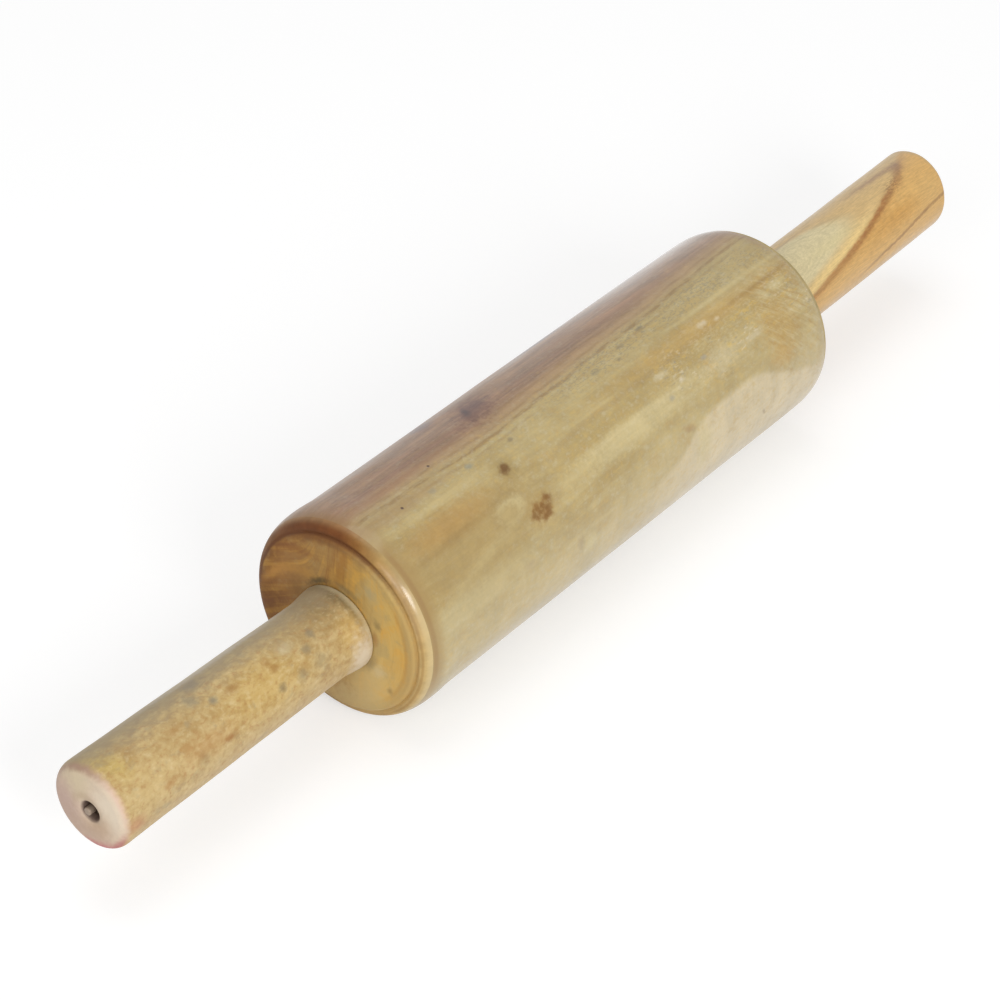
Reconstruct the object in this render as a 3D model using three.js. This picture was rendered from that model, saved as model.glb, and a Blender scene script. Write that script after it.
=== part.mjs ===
// Wooden rolling pin: a heavy turned barrel that spins on a steel axle between two fixed wooden handles.
//
// Millimetres, +Z up. +X runs along the axle, from the near handle to the far handle.
// The origin lies under the middle of the barrel, on the surface that the pin rests on.
// Every piece is a solid of revolution about the axle, so each one is a closed lathe profile:
// a loop of [radius, place along X] that runs up the outside and back down the bore.

import * as THREE from "three";

// Barrel
const BARREL_DIAMETER = 64;
const BARREL_LENGTH = 203;
// The rim of the barrel swells a little before each end.
const RIM_SWELL = 0.3;
const RIM_CREST_INSET = 11;
const RIM_FADE_INSET = 18;
// A bead runs round each end, between a fine line on the outside and a groove on the face.
const BEAD_RADIUS = 2.4;
const BEAD_SETBACK = 1.6;
const BEAD_LINE_DEPTH = 0.4;
const BEAD_LINE_WIDTH = 0.9;
const EDGE_ROUND = 1.6;
const GROOVE_WIDTH = 1.3;
const GROOVE_DEPTH = 2.1;
const FACE_EDGE_ROUND = 0.6;
// The free part of the end face starts this far outside the thicker handle's root.
const FACE_MARGIN = 1.5;

// Handles: hand-turned and not a matched pair, so each has its own two diameters and its own tip rounding
const HANDLE_LENGTH = 97.5;
const NEAR_HANDLE_ROOT_DIAMETER = 25;
const NEAR_HANDLE_TIP_DIAMETER = 26.7;
const NEAR_TIP_ROUND_WIDTH = 3;
const NEAR_TIP_ROUND_LENGTH = 3.6;
const FAR_HANDLE_ROOT_DIAMETER = 27.6;
const FAR_HANDLE_TIP_DIAMETER = 27.8;
const FAR_TIP_ROUND_WIDTH = 1.8;
const FAR_TIP_ROUND_LENGTH = 2;
const ROOT_FLARE = 0.8;
const ROOT_FLARE_LENGTH = 8;
const ROOT_ROUND = 0.9;
const TIP_CROWN = 0.5;
const TIP_FLAT_WIDTH = 2.4;

// Axle: a plain rod with barbed ends that the handles are driven onto
const AXLE_DIAMETER = 6;
const AXLE_RECESS = 3;
const AXLE_CHAMFER = 0.7;
const BARB_COUNT = 5;
const BARB_PITCH = 7;
const BARB_HEIGHT = 0.2;
const BARB_INSET = 12;

// Bushes: flanged, pressed into the ends of the barrel
const BUSH_WALL = 3;
const BUSH_LENGTH = 18;
const FLANGE_LIP = 3;
const FLANGE_THICKNESS = 2;

// Thrust washers, between each flange and the butt of its handle
const WASHER_THICKNESS = 0.8;

// Clearances, each measured on one side
const RUNNING_GAP = 0.08;
const PRESS_GAP = 0.1;
const END_FLOAT = 0.1;

// Flats around each turned surface; one flat always faces down
const WOOD_FLATS = 48;
const METAL_FLATS = 24;
const ARC_STEPS = 4;

// Sizes that follow from those above
const BARREL_RADIUS = BARREL_DIAMETER / 2;
const BARREL_END = BARREL_LENGTH / 2;
const AXLE_RADIUS = AXLE_DIAMETER / 2;
const BUSH_BORE = AXLE_RADIUS + RUNNING_GAP;
const BUSH_RADIUS = BUSH_BORE + BUSH_WALL;
const FLANGE_RADIUS = BUSH_RADIUS + FLANGE_LIP;
const HANDLE_BORE = AXLE_RADIUS + BARB_HEIGHT + PRESS_GAP;
const HANDLE_ROOT = BARREL_END + WASHER_THICKNESS + 2 * END_FLOAT;
const HANDLE_TIP = HANDLE_ROOT + HANDLE_LENGTH;
const AXLE_END = HANDLE_TIP - AXLE_RECESS;
const AXLE_HEIGHT = BARREL_RADIUS + RIM_SWELL;
const THICKER_ROOT = Math.max(NEAR_HANDLE_ROOT_DIAMETER, FAR_HANDLE_ROOT_DIAMETER) / 2 + ROOT_FLARE;

// Points on an arc about [centreRadius, centrePlace]. The angle is 0 outwards and 90 towards +X.
// A second radius makes it an ellipse: the first is measured outwards, the second along X.
function arc(centreRadius, centrePlace, outward, from, to, along = outward) {
  return Array.from({ length: ARC_STEPS + 1 }, (_, step) => {
    const angle = THREE.MathUtils.degToRad(from + ((to - from) * step) / ARC_STEPS);
    return [
      centreRadius + outward * Math.cos(angle),
      centrePlace + along * Math.sin(angle),
    ];
  });
}

// The same run of points on the -X half, in the order that carries on the loop.
function mirrored(points) {
  return points.map(([radius, place]) => [radius, -place]).reverse();
}

// A closed solid turned from a profile. The stated radius is that of the flats.
// A profile that starts off the axis belongs to a piece with a bore, and is closed on itself.
function turned(name, profile, flats, material) {
  const spread = 1 / Math.cos(Math.PI / flats);
  const loop = profile[0][0] > 0 ? [...profile, profile[0]] : profile;
  const points = loop.map(([radius, place]) => new THREE.Vector2(radius * spread, place));
  const geometry = new THREE.LatheGeometry(points, flats, Math.PI / flats);
  const mesh = new THREE.Mesh(geometry, material);
  mesh.name = name;
  return mesh;
}

function wood(color) {
  return new THREE.MeshStandardMaterial({ color, roughness: 0.5, metalness: 0 });
}

const barrelWood = wood(0xb8a06a);
const nearHandleWood = wood(0xbea168);
const farHandleWood = wood(0xc79f5e);
const steel = new THREE.MeshStandardMaterial({ color: 0x8d8f92, roughness: 0.4, metalness: 1 });
const nylon = new THREE.MeshStandardMaterial({ color: 0xe6e0d0, roughness: 0.55, metalness: 0 });

// The +X end of the barrel from the fading swell to the flat face, outside only.
function barrelEndOutline() {
  const beadRadius = BARREL_RADIUS - BEAD_LINE_DEPTH - BEAD_RADIUS;
  const beadPlace = BARREL_END - BEAD_SETBACK - BEAD_RADIUS;
  const linePlace = beadPlace - BEAD_LINE_WIDTH / 2;
  const edgePlace = linePlace - BEAD_LINE_WIDTH / 2 - EDGE_ROUND;
  const faceRadius = beadRadius - GROOVE_WIDTH;
  return [
    [BARREL_RADIUS, BARREL_END - RIM_FADE_INSET],
    [BARREL_RADIUS + RIM_SWELL, BARREL_END - RIM_CREST_INSET],
    ...arc(BARREL_RADIUS - BEAD_LINE_DEPTH, edgePlace, BEAD_LINE_DEPTH, 0, 90, EDGE_ROUND),
    [BARREL_RADIUS - 2 * BEAD_LINE_DEPTH, linePlace],
    ...arc(beadRadius, beadPlace, BEAD_RADIUS, 0, 100),
    [beadRadius - GROOVE_WIDTH / 2, BARREL_END - GROOVE_DEPTH],
    ...arc(faceRadius - FACE_EDGE_ROUND, BARREL_END - FACE_EDGE_ROUND, FACE_EDGE_ROUND, 0, 90),
    [THICKER_ROOT + FACE_MARGIN, BARREL_END],
  ];
}

// The +X end of the barrel's bore, from the face inwards: the flange's recess, then the bush's seat.
function barrelEndBore() {
  const recess = FLANGE_RADIUS + PRESS_GAP;
  const seat = BUSH_RADIUS + PRESS_GAP;
  const recessFloor = BARREL_END - FLANGE_THICKNESS - PRESS_GAP;
  const seatFloor = BARREL_END - BUSH_LENGTH - PRESS_GAP;
  return [
    [recess, BARREL_END],
    [recess, recessFloor],
    [seat, recessFloor],
    [seat, seatFloor],
    [BUSH_BORE + RUNNING_GAP, seatFloor],
  ];
}

function barrel() {
  const outside = barrelEndOutline();
  const bore = barrelEndBore();
  const profile = [...mirrored(outside), ...outside, ...bore, ...mirrored(bore)];
  return turned("barrel", profile, WOOD_FLATS, barrelWood);
}

function axleRod() {
  const barbs = Array.from({ length: BARB_COUNT }, (_, barb) => {
    const place = HANDLE_ROOT + BARB_INSET + barb * BARB_PITCH;
    return [
      [AXLE_RADIUS + BARB_HEIGHT, place],
      [AXLE_RADIUS, place + BARB_PITCH / 2],
      [AXLE_RADIUS, place + BARB_PITCH - BARB_HEIGHT],
    ];
  }).flat();
  const half = [
    [AXLE_RADIUS, HANDLE_ROOT + BARB_INSET - BARB_HEIGHT],
    ...barbs,
    [AXLE_RADIUS, AXLE_END - AXLE_CHAMFER],
    [AXLE_RADIUS - AXLE_CHAMFER, AXLE_END],
    [0, AXLE_END],
  ];
  return turned("axle_rod", [...mirrored(half), ...half], METAL_FLATS, steel);
}

// Pieces that come in pairs are turned for the +X end; a half turn about Z puts the other at the -X end.
function bush(name) {
  const flangeBack = BARREL_END - FLANGE_THICKNESS;
  const profile = [
    [BUSH_BORE, BARREL_END - BUSH_LENGTH],
    [BUSH_RADIUS, BARREL_END - BUSH_LENGTH],
    [BUSH_RADIUS, flangeBack],
    [FLANGE_RADIUS, flangeBack],
    [FLANGE_RADIUS, BARREL_END],
    [BUSH_BORE, BARREL_END],
  ];
  return turned(name, profile, METAL_FLATS, nylon);
}

function washer(name) {
  const inner = BARREL_END + END_FLOAT;
  const outer = inner + WASHER_THICKNESS;
  const profile = [
    [BUSH_BORE, inner],
    [FLANGE_RADIUS, inner],
    [FLANGE_RADIUS, outer],
    [BUSH_BORE, outer],
  ];
  return turned(name, profile, METAL_FLATS, steel);
}

function handle(name, rootDiameter, tipDiameter, roundWidth, roundLength, material) {
  const rootRadius = rootDiameter / 2;
  const tipRadius = tipDiameter / 2;
  const rootRing = rootRadius + ROOT_FLARE - ROOT_ROUND;
  const tipRing = tipRadius - roundWidth;
  const tipPlace = HANDLE_TIP - TIP_CROWN - roundLength;
  const profile = [
    [HANDLE_BORE, HANDLE_ROOT],
    ...arc(rootRing, HANDLE_ROOT + ROOT_ROUND, ROOT_ROUND, -90, 0),
    [rootRadius, HANDLE_ROOT + ROOT_FLARE_LENGTH],
    ...arc(tipRing, tipPlace, roundWidth, 0, 90, roundLength),
    [HANDLE_BORE + TIP_FLAT_WIDTH, HANDLE_TIP],
    [HANDLE_BORE, HANDLE_TIP],
  ];
  return turned(name, profile, WOOD_FLATS, material);
}

// The lathe axis is Y, so this group lays the pin along X, at the height where the rims touch the surface.
const pin = new THREE.Group();
pin.rotation.z = -Math.PI / 2;
pin.position.z = AXLE_HEIGHT;

const farEnd = new THREE.Group();
farEnd.add(
  bush("far_bush"),
  washer("far_washer"),
  handle(
    "far_handle",
    FAR_HANDLE_ROOT_DIAMETER,
    FAR_HANDLE_TIP_DIAMETER,
    FAR_TIP_ROUND_WIDTH,
    FAR_TIP_ROUND_LENGTH,
    farHandleWood,
  ),
);

const nearEnd = new THREE.Group();
nearEnd.rotation.z = Math.PI;
nearEnd.add(
  bush("near_bush"),
  washer("near_washer"),
  handle(
    "near_handle",
    NEAR_HANDLE_ROOT_DIAMETER,
    NEAR_HANDLE_TIP_DIAMETER,
    NEAR_TIP_ROUND_WIDTH,
    NEAR_TIP_ROUND_LENGTH,
    nearHandleWood,
  ),
);

pin.add(barrel(), axleRod(), farEnd, nearEnd);

const rollingPin = new THREE.Group();
rollingPin.name = "rolling_pin";
rollingPin.add(pin);

export default rollingPin;
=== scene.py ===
"""Dresses a wooden rolling pin in turned wood, steel and nylon, on a plain pale floor."""

import logging
import math
from dataclasses import dataclass, field, replace
from enum import Enum
from functools import reduce
from typing import Callable, Sequence, Union

import bmesh
import bpy
from mathutils import Matrix, Vector, noise


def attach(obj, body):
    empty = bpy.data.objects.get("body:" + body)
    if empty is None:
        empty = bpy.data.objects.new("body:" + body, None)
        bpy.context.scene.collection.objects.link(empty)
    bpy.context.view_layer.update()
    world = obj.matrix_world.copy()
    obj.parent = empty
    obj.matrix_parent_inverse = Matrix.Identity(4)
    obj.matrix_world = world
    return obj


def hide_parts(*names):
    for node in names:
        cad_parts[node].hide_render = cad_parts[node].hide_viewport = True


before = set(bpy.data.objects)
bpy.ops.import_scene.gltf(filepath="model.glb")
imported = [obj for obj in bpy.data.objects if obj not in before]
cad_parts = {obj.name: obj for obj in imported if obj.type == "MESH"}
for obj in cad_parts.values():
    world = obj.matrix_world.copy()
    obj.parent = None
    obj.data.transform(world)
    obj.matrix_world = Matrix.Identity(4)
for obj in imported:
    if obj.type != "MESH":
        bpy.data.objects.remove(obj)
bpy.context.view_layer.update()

LOG = logging.getLogger("rolling_pin")

# Millimetres to metres, and the height of the axle above the floor in millimetres
MM = 0.001
AXLE_HEIGHT = 32.3
# Places on the pin along the axle, in millimetres from the middle of the barrel
BARREL_END = 101.5
HANDLE_ROOT = 102.5
HANDLE_TIP = 200.0
AXLE_END = 197.0
BARREL_RADIUS = 32.0
# The middle of the pit in the near handle's tip, across and up from the axle
NEAR_PIT = (-1.2, 0.1)

Tone = tuple[float, float, float]
Outline = list[tuple[float, float]]
Socket = bpy.types.NodeSocket
Source = Union[Socket, float, Sequence[float]]
# Two values between which a mask comes in or a level changes
Band = tuple[float, float]
# The two sides of a mask, as the band in which it comes in on each
Window = tuple[Band, Band]
# Dark lines along an edge, as (turn past it, half width, strength)
Seams = tuple[tuple[float, float, float], ...]
# Colours at places along a ramp or at turns round the pin
Stops = tuple[tuple[float, Tone], ...]
# Moves one point of a turned surface, from (along, turn in radians, radius) to (along, y, z)
Worked = Callable[[float, float, float], tuple[float, float, float]]

HALF_TURN, WHOLE_TURN = 180.0, 360.0
# Where most values of a noise lie
NOISE_REACH: Band = (0.3, 0.7)
# The bands along the pin in which a mask of its near or far half comes in
NEAR_HALF: Band = (10.0, -10.0)
FAR_HALF: Band = (-10.0, 10.0)
# The turns between which the sheen on the heartwood's side of the barrel comes in
SHEEN_TURNS: Band = (-8.0, -30.0)
# The Mix node's colour sockets, by their places among its inputs and outputs
MIX_MASK, MIX_UNDER, MIX_OVER, MIX_RESULT = 0, 6, 7, 2


class PinEnd(Enum):
    """The two ends of the pin, as the side of the X axis that each lies on."""

    NEAR = -1
    FAR = 1


class Body(Enum):
    """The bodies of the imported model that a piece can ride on."""

    HANDLES = "handles"
    ROLLER = "roller"


def linear(tone: Tone) -> tuple[float, float, float, float]:
    """Turns a colour as a screen shows it, by the sRGB curve, into the linear one of a socket.

    Args:
        tone: Red, green and blue from 0 to 255.

    Returns:
        The linear colour, with an alpha of 1.
    """
    parts = [part / 255 for part in tone]
    red, green, blue = (
        part / 12.92 if part <= 0.04045 else ((part + 0.055) / 1.055) ** 2.4 for part in parts
    )
    return red, green, blue, 1.0


def fade(value: float, start: float, end: float) -> float:
    """Goes smoothly from 0 at start to 1 at end.

    Args:
        value: The number to place between the two.
        start: Where the result is 0.
        end: Where the result is 1; it may lie below start.

    Returns:
        A number from 0 to 1.
    """
    share = min(1.0, max(0.0, (value - start) / (end - start)))
    return share * share * (3 - 2 * share)


def arc(place: float, radius: float, along: float, outward: float,
        first: float, last: float, steps: int) -> Outline:
    """Points on a quarter or other part of an ellipse in an outline.

    Args:
        place: The centre along the axle.
        radius: The centre's distance from the axle.
        along: The ellipse's radius along the axle.
        outward: The ellipse's radius away from the axle.
        first: The first angle in degrees, 0 outwards and 90 towards +X.
        last: The last angle in degrees.
        steps: The number of steps between the two.

    Returns:
        The points, as (along, radius).
    """
    angles = [math.radians(first + (last - first) * step / steps) for step in range(steps + 1)]
    return [(place + along * math.sin(a), radius + outward * math.cos(a)) for a in angles]


def rows(start: tuple[float, float], end: tuple[float, float], pitch: float) -> Outline:
    """Points spaced evenly between two points of an outline, without the two themselves.

    Args:
        start: The point before the first.
        end: The point after the last.
        pitch: The widest spacing.

    Returns:
        The points, as (along, radius).
    """
    count = max(1, math.ceil(math.hypot(end[0] - start[0], end[1] - start[1]) / pitch))
    return [
        (start[0] + (end[0] - start[0]) * i / count, start[1] + (end[1] - start[1]) * i / count)
        for i in range(1, count)
    ]


def mirrored(outline: Outline) -> Outline:
    """The same outline on the other side of the middle, in the order that carries on the loop."""
    return [(-place, radius) for place, radius in reversed(outline)]


def at_end(outline: Outline, end: PinEnd) -> Outline:
    """Puts an outline that is drawn for the far end at the end asked for."""
    return [(place * end.value, radius) for place, radius in outline]


def round_about(along: float, turn: float, radius: float) -> tuple[float, float, float]:
    """Places a point of a turned surface with no irregularity."""
    return along, -radius * math.sin(turn), radius * math.cos(turn)


def wave(point: Sequence[float], along: float, across: float, shift: float = 0.0) -> float:
    """A smooth random wave over a turned surface.

    Args:
        point: The point, in millimetres.
        along: The wave's length along the pin.
        across: Its length across the pin.
        shift: Moves the pattern along the pin.

    Returns:
        A number from about -1 to 1, always the same for the same point.
    """
    x, y, z = point
    return noise.noise(Vector((x / along + shift, y / across, z / across)))


def turn_solid(name: str, outline: Outline, flats: int, worked: Worked = round_about,
               sharp_from: float = 50.0) -> bpy.types.Object:
    """Carries an outline round the axle to make one closed solid.

    An outline that starts on the axle makes a bar, and any other is closed on itself round a bore.

    Args:
        name: The name of the piece.
        outline: Points as (along, radius), in millimetres.
        flats: The number of points round the axle.
        worked: Moves each point, for marks of hand work.
        sharp_from: The angle in degrees between faces from which an edge stays sharp.

    Returns:
        The new object, in metres in the shared frame.
    """
    body = bmesh.new()
    rings = []
    for along, radius in outline:
        count = flats if radius > 0 else 1
        ring = []
        for step in range(count):
            x, y, z = worked(along, 2 * math.pi * (step + 0.5) / flats, radius)
            ring.append(body.verts.new((x * MM, y * MM, (z + AXLE_HEIGHT) * MM)))
        rings.append(ring)
    pairs = list(zip(rings, rings[1:]))
    if outline[0][1] > 0:
        pairs.append((rings[-1], rings[0]))
    for first, second in pairs:
        for step in range(flats):
            after = (step + 1) % flats
            if len(first) == 1:
                corners = [first[0], second[step], second[after]]
            elif len(second) == 1:
                corners = [first[step], second[0], first[after]]
            else:
                corners = [first[step], second[step], second[after], first[after]]
            body.faces.new(corners)
    bmesh.ops.recalc_face_normals(body, faces=body.faces)
    mesh = bpy.data.meshes.new(name)
    body.to_mesh(mesh)
    body.free()
    mesh.shade_smooth()
    mesh.set_sharp_from_angle(angle=math.radians(sharp_from))
    piece = bpy.data.objects.new(name, mesh)
    bpy.context.scene.collection.objects.link(piece)
    return piece


class Board:
    """A node tree, with short methods that add nodes and join them."""

    def __init__(self, tree: bpy.types.NodeTree) -> None:
        """Starts work on a tree."""
        self.tree = tree

    def add(self, kind: str, **settings: object) -> bpy.types.Node:
        """Adds a node.

        Args:
            kind: The node's type name.
            settings: Values for the node's own properties.

        Returns:
            The new node.
        """
        node = self.tree.nodes.new(kind)
        for name, value in settings.items():
            setattr(node, name, value)
        return node

    def feed(self, socket: Socket, source: Source) -> None:
        """Joins a source to a socket, or sets the socket to a plain value.

        Args:
            socket: The socket.
            source: Another node's output, or the value.
        """
        if isinstance(source, Socket):
            self.tree.links.new(source, socket)
        else:
            socket.default_value = source

    def wire(self, kind: str, *sources: Source, **settings: object) -> bpy.types.NodeOutputs:
        """Adds a node and feeds its inputs.

        Args:
            kind: The node's type name.
            sources: What feeds its first inputs, in order.
            settings: Values for the node's own properties.

        Returns:
            The node's outputs.
        """
        node = self.add(kind, **settings)
        for socket, source in zip(node.inputs, sources):
            self.feed(socket, source)
        return node.outputs

    def math(self, operation: str, *values: Source) -> Socket:
        """Works on numbers with an operation of the Math node."""
        return self.wire("ShaderNodeMath", *values, operation=operation)[0]

    def vector(self, operation: str, *values: Source) -> Socket:
        """Works on vectors with an operation of the Vector Math node."""
        return self.wire("ShaderNodeVectorMath", *values, operation=operation)["Vector"]

    def times(self, *values: Source) -> Source:
        """Multiplies numbers, from the first to the last."""
        return reduce(lambda made, value: self.math("MULTIPLY", made, value), values)

    def total(self, *values: Source) -> Source:
        """Adds numbers up, from the first to the last."""
        return reduce(lambda made, value: self.math("ADD", made, value), values)

    def sway(self, value: Source, reach: float) -> Socket:
        """Turns a value from 0 to 1 into a shift from minus the reach to plus the reach."""
        return self.math("MULTIPLY_ADD", value, 2 * reach, -reach)

    def span(self, value: Source, start: Source, end: Source, low: Source = 0.0,
             high: Source = 1.0) -> Socket:
        """Goes smoothly from low, where value is start, to high, where it is end.

        Args:
            value: The number to place.
            start: Where the result is low.
            end: Where the result is high; it may lie below start.
            low: The first result.
            high: The last result.

        Returns:
            The result.
        """
        return self.wire("ShaderNodeMapRange", value, start, end, low, high,
                         interpolation_type="SMOOTHSTEP")[0]

    def vary(self, value: Source, low: float, high: float) -> Socket:
        """Spreads a noise between two results."""
        return self.span(value, *NOISE_REACH, low, high)

    def window(self, value: Source, sides: Window) -> Source:
        """The mask of the stretch between two sides, where value lies inside both."""
        return self.times(*(self.span(value, *side) for side in sides))

    def noise(self, vector: Source, scale: Source, detail: float = 2.0, rough: float = 0.5,
              twist: float = 0.0) -> Socket:
        """Adds a noise and returns its value, which lies about 0.5.

        Args:
            vector: Where the noise is read.
            scale: Its scale.
            detail: How many finer layers it has.
            rough: How strong the finer layers are.
            twist: How far it is distorted.

        Returns:
            The value of the noise.
        """
        node = self.add("ShaderNodeTexNoise")
        for name, source in (("Vector", vector), ("Scale", scale), ("Detail", detail),
                             ("Roughness", rough), ("Distortion", twist)):
            self.feed(node.inputs[name], source)
        return node.outputs["Fac"]

    def cover(self, under: Source, over: Source, mask: Source) -> Socket:
        """Lays one colour over another.

        Args:
            under: The colour below.
            over: The colour above.
            mask: How much of the upper colour shows.

        Returns:
            The mixed colour.
        """
        node = self.add("ShaderNodeMix", data_type="RGBA")
        for place, source in ((MIX_MASK, mask), (MIX_UNDER, under), (MIX_OVER, over)):
            self.feed(node.inputs[place], source)
        return node.outputs[MIX_RESULT]

    def shade(self, colour: Source, level: Source) -> Socket:
        """Scales a colour or another vector.

        Args:
            colour: The colour.
            level: The factor.

        Returns:
            The scaled colour.
        """
        node = self.add("ShaderNodeVectorMath", operation="SCALE")
        self.feed(node.inputs[0], colour)
        self.feed(node.inputs["Scale"], level)
        return node.outputs["Vector"]

    def length(self, vector: Source) -> Socket:
        """The length of a vector."""
        return self.wire("ShaderNodeVectorMath", vector, operation="LENGTH")["Value"]

    def drawn_out(self, point: Source, along: float) -> Socket:
        """Squeezes the places along the pin, so that a noise read there is drawn out."""
        return self.vector("MULTIPLY", point, (along, 1.0, 1.0))

    def join(self, *parts: Source) -> Socket:
        """Joins up to three numbers into a vector."""
        return self.wire("ShaderNodeCombineXYZ", *parts)[0]

    def split(self, vector: Source) -> bpy.types.NodeOutputs:
        """Splits a vector into its three numbers."""
        return self.wire("ShaderNodeSeparateXYZ", vector)

    def ramp(self, value: Source, stops: Sequence[tuple[float, Tone]]) -> Socket:
        """Looks up a colour between named stops.

        Args:
            value: The number to look up, from 0 to 1.
            stops: Places from 0 to 1 with the colour at each.

        Returns:
            The colour.
        """
        node = self.add("ShaderNodeValToRGB")
        band = node.color_ramp
        for _ in stops[2:]:
            band.elements.new(0.5)
        for element, (place, tone) in zip(band.elements, stops):
            element.position = place
            element.color = linear(tone)
        self.feed(node.inputs[0], value)
        return node.outputs[0]

    def use(self, group: bpy.types.NodeTree, **inputs: Source) -> bpy.types.NodeOutputs:
        """Places a node group.

        Args:
            group: The group.
            inputs: Its inputs, by name with underscores for spaces.

        Returns:
            The group's outputs.
        """
        node = self.add("ShaderNodeGroup", node_tree=group)
        for name, source in inputs.items():
            self.feed(node.inputs[name.replace("_", " ")], source)
        return node.outputs


class Effects:
    """The shader node groups that the finishes share, each built once."""

    # How far each pattern is drawn out along the grain: the lower, the longer
    DRIFT_ALONG, FIBRE_ALONG, BAND_ALONG, CLOUD_ALONG = 0.6, 0.045, 0.1, 0.45
    DASH_ALONG, BLOT_ALONG = 0.4, 0.7
    # The scales of the patterns that have no width of their own
    DRIFT_SCALE, CLOUD_SCALE, GROUP_SCALE = 0.035, 0.06, 0.07
    # How slowly the turning lines change round the pin
    LINE_ROUND = 0.05

    def __init__(self) -> None:
        """Builds every group."""
        self.place = self._place()
        self.mark = self._mark()
        self.grain = self._grain()
        self.flecks = self._flecks()
        self.rings = self._rings()
        self.smudges = self._smudges()

    @staticmethod
    def _open(name: str, inputs: dict[str, str], outputs: dict[str, str]
              ) -> tuple[Board, bpy.types.NodeOutputs, bpy.types.NodeInputs]:
        """Makes an empty group.

        Args:
            name: The group's name.
            inputs: Socket types by name.
            outputs: Socket types by name.

        Returns:
            A board on the group, its inputs to read and its outputs to feed.
        """
        tree = bpy.data.node_groups.new(name, "ShaderNodeTree")
        for way, sockets in (("INPUT", inputs), ("OUTPUT", outputs)):
            for label, kind in sockets.items():
                tree.interface.new_socket(label, in_out=way, socket_type=f"NodeSocket{kind}")
        board = Board(tree)
        return board, board.add("NodeGroupInput").outputs, board.add("NodeGroupOutput").inputs

    def _place(self) -> bpy.types.NodeTree:
        """Where a point lies on the pin: along it, round it from the top and out from the axle."""
        board, given, made = self._open(
            "place_on_pin", {"Position": "Vector"},
            {"Point": "Vector", "Along": "Float", "Turn": "Float", "Radius": "Float"})
        point = board.vector("MULTIPLY_ADD", given["Position"], (1 / MM,) * 3,
                             (0.0, 0.0, -AXLE_HEIGHT))
        along, across, height = board.split(point)
        angle = board.math("ARCTAN2", board.times(across, -1.0), height)
        square = board.math("MULTIPLY_ADD", height, height, board.times(across, across))
        board.feed(made["Point"], point)
        board.feed(made["Along"], along)
        board.feed(made["Turn"], board.times(angle, HALF_TURN / math.pi))
        board.feed(made["Radius"], board.math("SQRT", square))
        return board.tree

    def _mark(self) -> bpy.types.NodeTree:
        """One placed mark: an oval on the turned surface with a soft or ragged edge."""
        board, given, made = self._open(
            "placed_mark",
            {name: "Float" for name in (
                "Along", "Turn", "Ragged", "At Along", "At Turn", "Half Length", "Half Turn",
                "Lean", "Softness", "Raggedness")},
            {"Mask": "Float"})
        far = board.math("SUBTRACT", given["Along"], given["At Along"])
        long = board.math("DIVIDE", far, given["Half Length"])
        aside = board.math("WRAP", board.math("SUBTRACT", given["Turn"], given["At Turn"]),
                           HALF_TURN, -HALF_TURN)
        aside = board.math("SUBTRACT", aside, board.times(far, given["Lean"]))
        wide = board.math("DIVIDE", aside, given["Half Turn"])
        square = board.math("MULTIPLY_ADD", long, long, board.times(wide, wide))
        reach = board.math("MULTIPLY_ADD", given["Ragged"], given["Raggedness"],
                           board.math("SQRT", square))
        outer = board.math("ADD", 1.0, given["Softness"])
        inner = board.math("SUBTRACT", 1.0, given["Softness"])
        board.feed(made["Mask"], board.span(reach, outer, inner))
        return board.tree

    def _grain(self) -> bpy.types.NodeTree:
        """Wood grain along the pin: fine fibres, broad bands and soft clouds."""
        board, given, made = self._open(
            "wood_grain",
            {"Point": "Vector", "Waver": "Float", "Fibre Width": "Float", "Band Width": "Float"},
            {"Fibre": "Float", "Band": "Float", "Cloud": "Float"})
        drift = board.add("ShaderNodeTexNoise")
        board.feed(drift.inputs["Vector"], board.drawn_out(given["Point"], self.DRIFT_ALONG))
        board.feed(drift.inputs["Scale"], self.DRIFT_SCALE)
        offset = board.vector("SUBTRACT", drift.outputs["Color"], (0.5, 0.5, 0.5))
        bent = board.vector("ADD", given["Point"], board.shade(offset, given["Waver"]))
        fine, broad, soft = (board.drawn_out(bent, along) for along in (
            self.FIBRE_ALONG, self.BAND_ALONG, self.CLOUD_ALONG))
        fibre_scale = board.math("DIVIDE", 1.0, given["Fibre Width"])
        band_scale = board.math("DIVIDE", 1.0, given["Band Width"])
        board.feed(made["Fibre"], board.noise(fine, fibre_scale, 3.0, 0.6))
        board.feed(made["Band"], board.noise(broad, band_scale, 3.0, 0.55, 0.4))
        board.feed(made["Cloud"], board.noise(soft, self.CLOUD_SCALE, 4.0, 0.55, 0.3))
        return board.tree

    def _flecks(self) -> bpy.types.NodeTree:
        """Short dashes along the grain, in loose groups."""
        board, given, made = self._open(
            "wood_flecks",
            {"Point": "Vector", "Size": "Float", "Cover": "Float"}, {"Mask": "Float"})
        dash = board.drawn_out(given["Point"], self.DASH_ALONG)
        speck = board.noise(dash, board.math("DIVIDE", 1.0, given["Size"]))
        group = board.noise(given["Point"], self.GROUP_SCALE)
        level = board.math("MULTIPLY_ADD", group, 0.35, speck)
        edge = board.math("SUBTRACT", 1.0, board.times(given["Cover"], 0.3))
        board.feed(made["Mask"], board.span(level, board.math("SUBTRACT", edge, 0.1), edge))
        return board.tree

    def _rings(self) -> bpy.types.NodeTree:
        """Fine lines round the pin that the turning tool and the sanding leave."""
        board, given, made = self._open(
            "turning_lines",
            {"Point": "Vector", "Along": "Float", "Radius": "Float", "Pitch": "Float"},
            {"Line": "Float"})
        place = board.math("DIVIDE", board.math("ADD", given["Along"], given["Radius"]),
                           given["Pitch"])
        _, across, height = board.split(board.shade(given["Point"], self.LINE_ROUND))
        line = board.noise(board.join(place, across, height), 1.0, 2.0, 0.6)
        board.feed(made["Line"], line)
        return board.tree

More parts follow.
